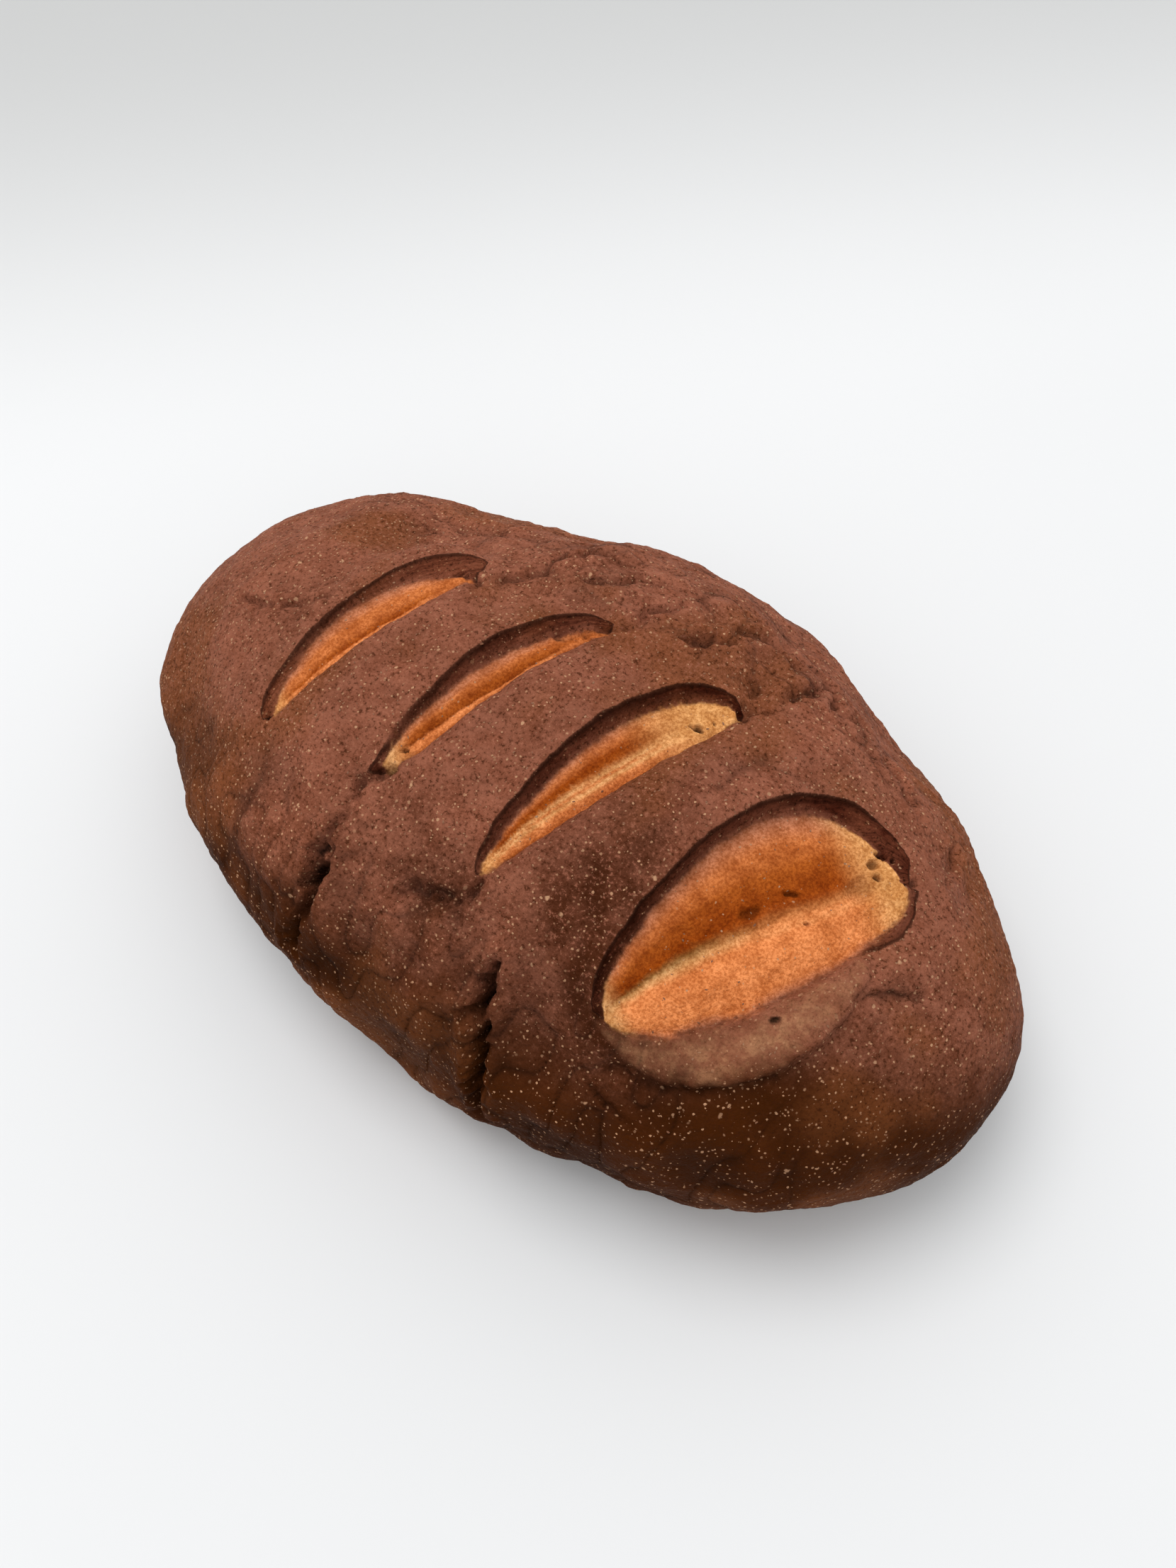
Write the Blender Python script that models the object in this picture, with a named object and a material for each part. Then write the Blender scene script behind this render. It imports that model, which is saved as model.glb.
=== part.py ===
"""Marble rye loaf, baked in one piece, with four slashes that opened in the oven.

One closed solid in metres, +Z up, +X along the loaf, standing on its flat base with the
origin under the middle of its box. Sizes below are in millimetres unless they say otherwise,
and heading angles are in degrees from +X towards +Y. The far side of a slash is the side
towards -X, where the crust was lifted, and the near side is the one towards +X.
"""

import math
from dataclasses import dataclass

import bmesh
import bpy
import numpy as np

MM = 0.001

# Driving sizes of the plain loaf, before the oven shaped it
LENGTH = 253.0
WIDTH = 152.5
HEIGHT = 82.5
WIDEST_AT = 30.0
UNDERSIDE_DEPTH = 45.0
PLAN_POWER = 2.15
UPPER_POWER = 2.22
LOWER_POWER = 2.5
WIDER_END = 0.005
BASE_ROUNDING = 2.5

# Slow waves that make the outline uneven: how many round the loaf, share of the radius, heading
PLAN_WAVES = (
    (3, 0.0175, -96.0),
    (4, 0.019, -20.0),
    (5, 0.011, 64.0),
    (6, 0.0075, 156.0),
    (7, 0.0055, -51.0),
    (8, 0.0035, 45.0),
)

# Heights between which the relief fades out towards the base, and slashes towards the flanks
RELIEF_FADE = (3.0, 14.0)
SLASH_FADE = (34.0, 52.0)

# Soft unevenness of the crust
LUMP_SEED = 11
LUMP_COUNT = 260
LUMP_RADIUS = (5.0, 22.0)
LUMP_HEIGHT = 0.11

# Mesh sizes
SPHERE_DIVISIONS = 8
TRIANGLES = 11200
BASE_SNAP = 0.06


@dataclass(frozen=True)
class Slash:
    """A cut that opened in the oven. Bows are sideways reaches at its middle, over its centreline."""

    centre: tuple[float, float]
    heading: float
    half_length: float
    skin_half: float
    skin_shift: float
    skin_power: float
    skin_bow: float
    skin_lean: float
    dough_bow: float
    dough_lean: float
    power: float
    near_bow: float
    near_tilt: float
    depth: float
    crease_at: float
    crease_depth: float
    band_height: float


@dataclass(frozen=True)
class Groove:
    """A crack, crease or fold: a route over the crust with its width, depth and raised shoulders."""

    route: tuple[tuple[float, float, float], ...]
    width: float
    depth: float
    shoulder: float


@dataclass(frozen=True)
class Mound:
    """A rounded swelling of the crust, or a hollow where its height is negative."""

    place: tuple[float, float, float]
    radius: float
    height: float


SLASHES = (
    Slash(
        (-46.6, -9.0), 73.5, 29.5, 34.0, 2.2, 0.7, 15.0, 0.27, 14.4, 0.10, 1.4,
        -2.5, 0.5, 2.0, -4.2, 0.5, 1.6,
    ),
    Slash(
        (-10.8, -4.8), 71.5, 31.0, 36.0, -1.0, 1.0, 13.0, 0.47, 10.8, 0.12, 1.0,
        -2.0, 3.0, 3.9, -4.2, 1.1, 2.0,
    ),
    Slash(
        (24.9, -6.9), 70.5, 35.2, 36.6, 0.8, 0.85, 15.0, 0.37, 12.6, 0.40, 1.0,
        0.2, 0.6, 4.8, -5.0, 1.0, 1.8,
    ),
    Slash(
        (70.8, -16.4), 60.2, 36.3, 39.6, 1.3, 0.75, 26.2, 0.42, 23.8, 0.45, 0.85,
        11.4, 2.0, 5.2, -4.0, 1.8, 0.4,
    ),
)

# The lifted crust along the far side of each slash, and its least distance from the dough
FAR_LIP_HEIGHT = 0.8
LEAST_RECESS = 1.0

# Distances inside an opened slash between which the soft unevenness fades out
LUMP_FADE = (-16.0, -4.0)

# The rolled lower lip of the widest slash, in the slash's own along and across places
LIP_SLASH = SLASHES[3]
LIP_MIDDLE = -7.0
LIP_HALF_LENGTH = 30.0
LIP_BOW = 21.5
LIP_HEIGHT = 2.4
LIP_STEP = 3.0

CRACKS = (
    Groove(((-20, -34, 79), (-23, -40, 77), (-22, -50, 72), (-20, -56, 68), (-21, -68, 56)), 2.6, 3.4, 0.5),
    Groove(((-21, -57, 67), (-20, -63, 61), (-21, -68, 56), (-22, -73, 45)), 3.4, 4.6, 0.6),
    Groove(((15, -40, 77), (13, -46, 74), (7, -48, 73), (1, -50, 73), (0, -54, 71)), 2.6, 2.6, 0.4),
    Groove(((27, -52, 69), (28, -58, 65), (29, -65, 58), (32, -66, 56)), 3.6, 6.0, 0.8),
    Groove(((32, -66, 56), (33, -69, 50), (35, -73, 38), (34, -74, 26)), 3.6, 6.0, 0.8),
    Groove(((-92, -15, 68), (-79, -13, 73), (-72, -9, 75), (-67, -4, 77)), 1.8, 1.3, 0.3),
    Groove(((-38, 18, 80), (-33, 24, 79), (-28, 30, 78), (-27, 39, 76), (-20, 49, 73)), 3.2, 1.8, 0.7),
    Groove(((-16, 36, 78), (-11, 38, 78), (-6, 45, 76), (0, 50, 74)), 2.4, 1.5, 0.7),
    Groove(((1, 29, 81), (2, 37, 79), (7, 45, 76)), 2.2, 1.6, 0.5),
    Groove(
        ((15, 36, 78), (19, 42, 76), (22, 45, 75), (22, 50, 73), (27, 54, 70), (35, 51, 69)),
        2.8, 2.4, 0.9,
    ),
    Groove(((36, 27, 78), (40, 36, 76), (43, 43, 73), (45, 50, 69)), 3.0, 2.2, 0.9),
    Groove(((30, 56, 67), (44, 53, 67), (52, 47, 68), (58, 49, 65)), 2.4, 1.8, 0.8),
    Groove(((66, 46, 64), (74, 40, 65), (80, 36, 65)), 2.4, 1.2, 0.5),
    Groove(((90, 40, 54), (93, 34, 59), (94, 26, 64)), 2.6, 1.6, 0.6),
    Groove(((92, -13, 68), (97, -7, 67), (103, -1, 65)), 2.0, 1.0, 0.3),
    Groove(((-62, 40, 68), (-50, 43, 70), (-38, 45, 72)), 3.0, 0.9, 0.4),
    Groove(((43, 6, 81), (45, 14, 80), (47, 20, 78)), 3.2, 0.9, 0.3),
)

MOUNDS = (
    Mound((3, -49, 73), 6.5, -1.8),
    Mound((-46, -67, 50), 8.0, -1.8),
    Mound((-58, -64, 44), 8.0, 1.2),
    Mound((-33, -70, 46), 7.0, -1.6),
    Mound((-3, -66, 58), 7.0, -2.2),
    Mound((9, -63, 62), 5.0, -1.4),
    Mound((5, -76, 28), 10.0, -1.2),
    Mound((-12, -62, 63), 7.0, 1.2),
    Mound((44, -59, 62), 8.0, -1.6),
    Mound((76, -56, 56), 9.0, 2.0),
    Mound((62, -52, 62), 6.0, -1.4),
    Mound((88, -45, 56), 8.0, -1.2),
    Mound((-34, 58, 64), 9.0, -2.4),
    Mound((-19, 55, 68), 9.0, 1.6),
    Mound((36, 36, 76), 6.5, -2.4),
    Mound((12, 57, 68), 9.0, 1.8),
    Mound((30, 62, 62), 8.0, -1.6),
    Mound((40, 45, 72), 6.0, 1.8),
    Mound((55, 56, 62), 10.0, 1.6),
    Mound((64, 60, 54), 7.0, -1.6),
    Mound((96, 33, 58), 9.0, -1.4),
    Mound((22, 32, 79), 8.0, 1.6),
    Mound((-8, 32, 80), 9.0, 1.2),
    Mound((-28, 4, 84), 13.0, 1.6),
    Mound((8, 2, 84), 12.0, 1.6),
    Mound((42, -6, 82), 14.0, 1.2),
)


def smooth_step(low, high, values):
    """A smooth rise from 0 at low to 1 at high."""
    share = np.clip((values - low) / (high - low), 0.0, 1.0)
    return share * share * (3.0 - 2.0 * share)


def even_rise(share):
    """A straight slope."""
    return share


def soft_rise(share):
    """A slope that is level at both ends."""
    return share * share * (3.0 - 2.0 * share)


def round_rise(share):
    """A quarter circle that starts steep and ends level."""
    return np.sqrt(1.0 - (1.0 - share) ** 2)


def outline_radius(angles):
    """Radius of the uneven plan outline, as a share of the half length and half width."""
    even = np.abs(np.cos(angles)) ** PLAN_POWER + np.abs(np.sin(angles)) ** PLAN_POWER
    radius = even ** (-1.0 / PLAN_POWER)
    for count, share, heading in PLAN_WAVES:
        radius = radius * (1.0 + share * np.cos(count * angles - math.radians(heading)))
    return radius


def plain_loaf(directions):
    """Points of the plain loaf in the given unit directions, with its underside cut flat."""
    flat = np.hypot(directions[:, 0], directions[:, 1])
    rise = directions[:, 2]
    angles = np.arctan2(directions[:, 1], directions[:, 0])
    power = np.where(rise > 0.0, UPPER_POWER, LOWER_POWER)
    reach = (flat**power + np.abs(rise) ** power) ** (-1.0 / power)
    radius = outline_radius(angles) * flat * reach
    along = radius * np.cos(angles)
    x = LENGTH / 2.0 * along
    y = WIDTH / 2.0 * radius * np.sin(angles) * (1.0 + WIDER_END * along)
    span = np.where(rise > 0.0, HEIGHT - WIDEST_AT, UNDERSIDE_DEPTH)
    return np.stack([x, y, soft_floor(WIDEST_AT + span * rise * reach)], axis=1)


def soft_floor(heights):
    """Heights with everything under the base lifted onto it, round a small radius."""
    blend = (heights + BASE_ROUNDING) ** 2 / (4.0 * BASE_ROUNDING)
    return np.where(heights > BASE_ROUNDING, heights, np.where(heights < -BASE_ROUNDING, 0.0, blend))


def cross_section(across, stops):
    """Height of a profile given by stops of place, height and the rise that leads to each."""
    height = np.zeros_like(across) + stops[0][1]
    for (start, low, _), (end, high, rise) in zip(stops, stops[1:]):
        width = np.maximum(end - start, 0.2)
        share = np.clip((across - start) / width, 0.0, 1.0)
        height = height + (high - low) * rise(share)
    return height


def slash_places(slash, x, y):
    """Places along and across a slash, with its centreline as zero across."""
    turn = math.radians(slash.heading)
    dx = x - slash.centre[0]
    dy = y - slash.centre[1]
    along = dx * math.cos(turn) + dy * math.sin(turn)
    across = dx * math.sin(turn) - dy * math.cos(turn)
    return along, across


def slash_lines(slash, x, y):
    """Places in a slash's terms: along and across it, its bows there, and its four lines."""
    along, across = slash_places(slash, x, y)
    share = np.clip(along / slash.half_length, -1.0, 1.0)
    bow = np.sqrt(1.0 - share * share)
    dough = -slash.dough_bow * bow**slash.power * (1.0 + slash.dough_lean * share)
    skin_share = np.clip((along - slash.skin_shift) / slash.skin_half, -1.0, 1.0)
    skin_bow = np.sqrt(1.0 - skin_share * skin_share)
    skin = -slash.skin_bow * skin_bow**slash.skin_power * (1.0 + slash.skin_lean * skin_share)
    skin = np.minimum(skin, dough - LEAST_RECESS * bow)
    near = bow * (slash.near_bow - slash.near_tilt * share)
    crease = np.clip(slash.crease_at * bow, dough + 1.5, near - 1.5)
    return along, across, bow, skin_bow, skin, dough, crease, near


def inside_slash(slash, x, y):
    """Distance inside the opened slash, less than zero outside it."""
    along, across, _, _, skin, _, _, near = slash_lines(slash, x, y)
    past = np.maximum(np.abs(along - slash.skin_shift) - slash.skin_half, 0.0)
    return np.minimum(across - skin, near - across) - past


def slash_relief(slash, x, y):
    """How far a slash lowers or lifts the crust at the given places."""
    _, across, bow, skin_bow, skin, dough, crease, near = slash_lines(slash, x, y)
    gap = dough - skin
    deep = slash.depth * bow**0.7
    hollow = slash.depth * skin_bow**0.7
    lip = FAR_LIP_HEIGHT * skin_bow**2
    band = slash.band_height * bow**2
    fold = slash.crease_depth * bow**0.7
    stops = (
        (skin - 12.0, 0.0, soft_rise),
        (skin, lip, soft_rise),
        (skin + 0.75 * gap, -0.30 * hollow - 0.34 * deep, soft_rise),
        (dough, -0.80 * deep, even_rise),
        ((dough + crease) / 2.0, -0.72 * deep, soft_rise),
        (crease, -0.72 * deep - fold, soft_rise),
        (crease + 0.45 * (near - crease), -0.80 * deep, soft_rise),
        (near, -deep, soft_rise),
        (near + 6.0, band, round_rise),
        (near + 10.0, band, even_rise),
        (near + 24.0, 0.0, soft_rise),
    )
    return cross_section(across, stops)


def lip_relief(x, y):
    """The rolled lip under the widest slash, with a step below its edge."""
    along, across = slash_places(LIP_SLASH, x, y)
    share = np.clip((along - LIP_MIDDLE) / LIP_HALF_LENGTH, -1.0, 1.0)
    bow = np.sqrt(1.0 - share * share)
    edge = LIP_BOW * bow
    start = LIP_SLASH.near_bow * bow
    height = LIP_HEIGHT * bow**2
    stops = (
        (start, 0.0, even_rise),
        (edge, height, soft_rise),
        (edge + 2.2, height - LIP_STEP * bow**2, soft_rise),
        (edge + 12.0, 0.0, soft_rise),
    )
    return cross_section(across, stops)


def distance_to_route(points, route):
    """Shortest distance of each point from a line through the route's places."""
    nearest = np.full(len(points), np.inf)
    for start, end in zip(route, route[1:]):
        origin = np.array(start, dtype=float)
        run = np.array(end, dtype=float) - origin
        share = np.clip((points - origin) @ run / (run @ run), 0.0, 1.0)
        gap = np.linalg.norm(points - origin - share[:, None] * run, axis=1)
        nearest = np.minimum(nearest, gap)
    return nearest


def groove_relief(groove, points):
    """A narrow valley along the route, between two raised shoulders."""
    away = distance_to_route(points, groove.route) / groove.width
    valley = groove.depth * np.exp(-((1.3 * away) ** 2))
    shoulders = groove.shoulder * np.exp(-((away - 2.0) ** 2))
    return shoulders - valley


def mound_relief(mound, points):
    """A rounded swelling or hollow."""
    away = np.linalg.norm(points - np.array(mound.place, dtype=float), axis=1)
    return mound.height * np.exp(-((away / mound.radius) ** 2))


def lump_relief(points):
    """Soft unevenness from many seeded swellings and hollows of different sizes."""
    draw = np.random.default_rng(LUMP_SEED)
    places = points[draw.integers(0, len(points), LUMP_COUNT)]
    radii = draw.uniform(*LUMP_RADIUS, LUMP_COUNT)
    heights = draw.uniform(-LUMP_HEIGHT, LUMP_HEIGHT, LUMP_COUNT)
    total = np.zeros(len(points))
    for place, radius, height in zip(places, radii, heights):
        away = np.linalg.norm(points - place, axis=1)
        total += height * radius * np.exp(-((away / radius) ** 2))
    return total


def relief(points):
    """Height of the crust over the plain loaf at each of its points."""
    x, y, z = points.T
    slashes = lip_relief(x, y)
    opened = np.full(len(points), -np.inf)
    for slash in SLASHES:
        slashes = slashes + slash_relief(slash, x, y)
        opened = np.maximum(opened, inside_slash(slash, x, y))
    rest = lump_relief(points) * (1.0 - smooth_step(*LUMP_FADE, opened) * smooth_step(*SLASH_FADE, z))
    for groove in CRACKS:
        rest = rest + groove_relief(groove, points)
    for mound in MOUNDS:
        rest = rest + mound_relief(mound, points)
    return slashes * smooth_step(*SLASH_FADE, z) + rest * smooth_step(*RELIEF_FADE, z)


def mesh_places(mesh, scale):
    """The mesh's points as an array, times a scale."""
    places = np.empty(3 * len(mesh.vertices))
    mesh.vertices.foreach_get("co", places)
    return places.reshape(-1, 3) * scale


def set_mesh_places(mesh, places):
    """Moves the mesh's points, given in millimetres."""
    mesh.vertices.foreach_set("co", (places * MM).ravel())
    mesh.update()


def fine_mesh():
    """The loaf with its whole relief, on a finely divided sphere."""
    shape = bmesh.new()
    bmesh.ops.create_icosphere(shape, subdivisions=SPHERE_DIVISIONS, radius=1.0)
    mesh = bpy.data.meshes.new("loaf_fine")
    shape.to_mesh(mesh)
    shape.free()
    body = plain_loaf(mesh_places(mesh, 1.0))
    set_mesh_places(mesh, body)
    outward = np.empty(3 * len(body))
    mesh.vertex_normals.foreach_get("vector", outward)
    outward = outward.reshape(-1, 3)
    set_mesh_places(mesh, body + outward * relief(body)[:, None])
    return mesh


def thinned_mesh(mesh):
    """The same form with fewer triangles where it is smooth."""
    helper = bpy.data.objects.new("loaf_helper", mesh)
    bpy.context.scene.collection.objects.link(helper)
    thin = helper.modifiers.new("thin", "DECIMATE")
    thin.ratio = TRIANGLES / len(mesh.polygons)
    thin.use_collapse_triangulate = True
    graph = bpy.context.evaluated_depsgraph_get()
    result = bpy.data.meshes.new_from_object(helper.evaluated_get(graph))
    bpy.data.objects.remove(helper)
    return result


def stand_on_origin(mesh):
    """Flattens the base exactly and puts the origin under the middle of the box."""
    places = mesh_places(mesh, 1.0 / MM)
    places[:, 2] -= places[:, 2].min()
    places[places[:, 2] < BASE_SNAP, 2] = 0.0
    middle = (places.min(axis=0) + places.max(axis=0)) / 2.0
    places[:, :2] -= middle[:2]
    set_mesh_places(mesh, places)


def crust_material():
    """Matt dark brown crust."""
    material = bpy.data.materials.new("crust")
    material.use_nodes = True
    surface = material.node_tree.nodes["Principled BSDF"]
    surface.inputs["Base Color"].default_value = (0.20, 0.068, 0.036, 1.0)
    surface.inputs["Roughness"].default_value = 0.6
    surface.inputs["Metallic"].default_value = 0.0
    return material


def main():
    """Clears the scene and builds the loaf."""
    for item in list(bpy.data.objects):
        bpy.data.objects.remove(item)
    mesh = thinned_mesh(fine_mesh())
    stand_on_origin(mesh)
    mesh.name = "loaf"
    mesh.materials.append(crust_material())
    mesh.shade_smooth()
    loaf = bpy.data.objects.new("loaf", mesh)
    bpy.context.scene.collection.objects.link(loaf)


main()
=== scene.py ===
"""Looks of the marble rye loaf: crust, opened slashes, bran, floor, light and camera.

The loaf's form is worked out in millimetres in the frame of its model, with +X along the loaf
and +Z up, and becomes metres when a mesh is made. The far side of a slash is the one towards
-X, where the crust was lifted, and the near side is the one towards +X. Heading angles are in
degrees from +X towards +Y.
"""

import itertools
import logging
import math
from collections.abc import Iterator
from dataclasses import dataclass
from enum import Enum

import bmesh
import bpy
import numpy as np
from mathutils import Matrix, Vector


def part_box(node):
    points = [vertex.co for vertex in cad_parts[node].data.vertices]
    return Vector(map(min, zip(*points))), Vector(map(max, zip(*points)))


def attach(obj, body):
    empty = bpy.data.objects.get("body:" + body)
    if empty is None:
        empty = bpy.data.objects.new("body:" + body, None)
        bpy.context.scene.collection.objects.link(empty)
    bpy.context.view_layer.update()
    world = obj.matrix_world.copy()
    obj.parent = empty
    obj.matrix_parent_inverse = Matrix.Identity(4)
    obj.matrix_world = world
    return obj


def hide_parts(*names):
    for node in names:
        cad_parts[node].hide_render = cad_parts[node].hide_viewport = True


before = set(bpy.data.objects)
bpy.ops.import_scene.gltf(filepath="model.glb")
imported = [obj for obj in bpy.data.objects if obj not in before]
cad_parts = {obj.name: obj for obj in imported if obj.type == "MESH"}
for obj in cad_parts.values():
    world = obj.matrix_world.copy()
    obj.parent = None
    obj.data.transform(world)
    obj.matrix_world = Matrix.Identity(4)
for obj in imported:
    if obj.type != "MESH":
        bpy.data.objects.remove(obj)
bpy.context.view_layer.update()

LOG = logging.getLogger("loaf")
MM = 0.001
IMAGE_HEIGHT = 2212
SENSOR_MM = 36.0

# Distance inside an opening that stands for being nowhere near one
FAR_OUTSIDE = -60.0
# Share of the full raggedness that the slashes' edges take
EDGE_RAGGED = 0.6
# How much more ragged the cracks are
CRACK_RAGGED = 1.8

Array = np.ndarray
Colour = tuple[float, float, float]
Place = tuple[float, float, float]
Socket = bpy.types.NodeSocket


class Rise(Enum):
    """How a cross-section gets from one height to the next."""

    EVEN = "even"
    SOFT = "soft"
    ROUND = "round"

    def of(self, share: Array) -> Array:
        """Share of the height that is reached at a share of the way.

        Args:
            share: Share of the way, from 0 to 1.

        Returns:
            Share of the height, from 0 to 1.
        """
        if self is Rise.SOFT:
            return share * share * (3.0 - 2.0 * share)
        if self is Rise.ROUND:
            return np.sqrt(1.0 - (1.0 - share) ** 2)
        return share


class DoughTone(Enum):
    """Colours of the pale dough where the slashes opened, from its edges to its folds."""

    PINK = (0.526, 0.197, 0.094)
    ORANGE = (0.58, 0.185, 0.055)
    AMBER = (0.32, 0.064, 0.004)
    BROWN = (0.40, 0.102, 0.015)
    BRIGHT = (0.74, 0.260, 0.088)
    CREAM = (0.70, 0.370, 0.155)
    OLIVE = (0.27, 0.125, 0.035)
    YELLOW = (0.74, 0.370, 0.140)
    EDGE = (0.30, 0.115, 0.062)
    DEEP = (0.20, 0.040, 0.003)


@dataclass(frozen=True)
class Stop:
    """A place where a cross-section reaches a height, and the rise that leads to it."""

    place: Array
    height: Array
    rise: Rise = Rise.SOFT


def smooth_step(low: float, high: float, values: Array) -> Array:
    """A smooth rise from 0 at low to 1 at high.

    Args:
        low: Value where the rise starts.
        high: Value where it ends.
        values: Where it is wanted.

    Returns:
        Shares from 0 to 1.
    """
    share = np.clip((values - low) / (high - low), 0.0, 1.0)
    return share * share * (3.0 - 2.0 * share)


def cross_section(across: Array, stops: tuple[Stop, ...]) -> Array:
    """Height of a profile at places across it.

    Args:
        across: Places, in millimetres.
        stops: Stops of the profile, in order.

    Returns:
        Heights in millimetres.
    """
    height = np.zeros_like(across) + stops[0].height
    for before, after in zip(stops, stops[1:]):
        width = np.maximum(after.place - before.place, 0.2)
        share = np.clip((across - before.place) / width, 0.0, 1.0)
        height = height + (after.height - before.height) * after.rise.of(share)
    return height


def close_by(points: Array, places: Array, reach: float) -> Array:
    """Finds the points in a box round some places.

    Args:
        points: Points as rows.
        places: Places as rows.
        reach: How far the box goes past them.

    Returns:
        Numbers of the points inside.
    """
    low = places.min(axis=0) - reach
    high = places.max(axis=0) + reach
    return np.flatnonzero(np.all((points > low) & (points < high), axis=1))


def along_route(points: Array, route: tuple[Place, ...]) -> Iterator[tuple[Array, Array, Array]]:
    """Goes along a route leg by leg.

    Args:
        points: Points as rows.
        route: Places that the route passes.

    Yields:
        The leg's run, how far along it each point lies from 0 to 1, and each point's offset from it.
    """
    for start, end in zip(route, route[1:]):
        origin = np.array(start, dtype=float)
        run = np.array(end, dtype=float) - origin
        share = np.clip((points - origin) @ run / (run @ run), 0.0, 1.0)
        yield run, share, points - origin - share[:, None] * run


@dataclass(frozen=True)
class SmoothNoise:
    """Seeded unevenness between -1 and 1 that changes smoothly over one unit of distance."""

    seed: int
    table_size: int = 4096
    keys: tuple[int, int, int] = (7919, 104729, 1299709)

    def at(self, points: Array) -> Array:
        """Values at points, whose coordinates are already shares of the wanted size.

        Args:
            points: Points as rows of three.

        Returns:
            One value for each point.
        """
        table = np.random.default_rng(self.seed).uniform(-1.0, 1.0, self.table_size)
        cell = np.floor(points).astype(np.int64)
        part = points - cell
        fade = part * part * (3.0 - 2.0 * part)
        total = np.zeros(len(points))
        for corner in itertools.product((0, 1), repeat=3):
            weight = np.prod(np.where(corner, fade, 1.0 - fade), axis=1)
            key = (cell + np.array(corner)) @ np.array(self.keys)
            total += weight * table[key % self.table_size]
        return total

    def ridges(self, points: Array) -> Array:
        """Values from 0 to 1 that peak along narrow, winding lines."""
        return 1.0 - np.sqrt(np.abs(self.at(points)))


@dataclass(frozen=True)
class PlainLoaf:
    """The loaf before the oven opened it: an uneven rounded body with a flat base."""

    length: float = 253.0
    width: float = 152.5
    height: float = 82.5
    widest_at: float = 30.0
    underside_depth: float = 45.0
    plan_power: float = 2.15
    upper_power: float = 2.22
    lower_power: float = 2.5
    wider_end: float = 0.005
    base_rounding: float = 2.5
    plan_waves: tuple[tuple[int, float, float], ...] = (
        (3, 0.0175, -96.0),
        (4, 0.019, -20.0),
        (5, 0.011, 64.0),
        (6, 0.0075, 156.0),
        (7, 0.0055, -51.0),
        (8, 0.0035, 45.0),
    )

    def outline_radius(self, angles: Array) -> Array:
        """Radius of the plan outline, as a share of the half length and half width.

        Args:
            angles: Directions in the plan, in radians.

        Returns:
            One radius for each direction.
        """
        even = sum(np.abs(part) ** self.plan_power for part in (np.cos(angles), np.sin(angles)))
        radius = even ** (-1.0 / self.plan_power)
        for count, share, heading in self.plan_waves:
            radius = radius * (1.0 + share * np.cos(count * angles - math.radians(heading)))
        return radius

    def soft_floor(self, heights: Array) -> Array:
        """Lifts what is under the base onto it, round a small radius.

        Args:
            heights: Heights in millimetres.

        Returns:
            Heights of zero or more.
        """
        blend = (heights + self.base_rounding) ** 2 / (4.0 * self.base_rounding)
        low = np.where(heights < -self.base_rounding, 0.0, blend)
        return np.where(heights > self.base_rounding, heights, low)

    def points(self, directions: Array) -> Array:
        """Points of the body in given directions.

        Args:
            directions: Unit directions as rows.

        Returns:
            Points in millimetres as rows.
        """
        flat = np.hypot(directions[:, 0], directions[:, 1])
        rise = directions[:, 2]
        angles = np.arctan2(directions[:, 1], directions[:, 0])
        power = np.where(rise > 0.0, self.upper_power, self.lower_power)
        reach = (flat**power + np.abs(rise) ** power) ** (-1.0 / power)
        radius = self.outline_radius(angles) * flat * reach
        along = radius * np.cos(angles)
        x = self.length / 2.0 * along
        y = self.width / 2.0 * radius * np.sin(angles) * (1.0 + self.wider_end * along)
        span = np.where(rise > 0.0, self.height - self.widest_at, self.underside_depth)
        z = self.soft_floor(self.widest_at + span * rise * reach)
        return np.stack([x, y, z], axis=1)


# The lifted crust beside each slash, the width of its torn edge and the least width of its dark face
FAR_LIP_HEIGHT = 0.8
SKIN_WALL = 1.0
LEAST_RECESS = 1.0
# Least width of each side of the crease
LEAST_SIDE = 1.5
# Power of the bow by which a slash grows shallower towards its ends
DEPTH_POWER = 0.7
# Depths across a slash, as shares of its full depth
SKIN_FLOOR = 0.30
FACE_DROP = 0.34
DOUGH_EDGE_FLOOR = 0.80
DOUGH_FLOOR = 0.72
# How far the crust is raised beyond a slash, on its far side and on its near side
FAR_REACH = 12.0
NEAR_BAND = (6.0, 10.0, 24.0)
# Width that the opening loses for each millimetre past the end of the dough
END_TAPER = 0.8
WRAP_TAPER = 0.6


@dataclass(frozen=True)
class SlashLines:
    """Places of points along and across a slash, and where its lines run beside them."""

    along: Array
    across: Array
    share: Array
    bow: Array
    skin_bow: Array
    skin: Array
    dough: Array
    crease: Array
    near: Array

    def dough_share(self) -> Array:
        """Place across the pale dough: 0 at its far edge, 0.5 at the crease, 1 at its near edge."""
        far = (self.across - self.dough) / np.maximum(self.crease - self.dough, 0.3)
        near = (self.across - self.crease) / np.maximum(self.near - self.crease, 0.3)
        return np.where(far < 1.0, 0.5 * np.clip(far, 0.0, 1.0), 0.5 + 0.5 * np.clip(near, 0.0, 1.0))

    def cut_share(self) -> Array:
        """Place across the whole opening: 0 at the skin's edge and 1 at the near edge."""
        return (self.across - self.skin) / np.maximum(self.near - self.skin, 0.5)


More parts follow.
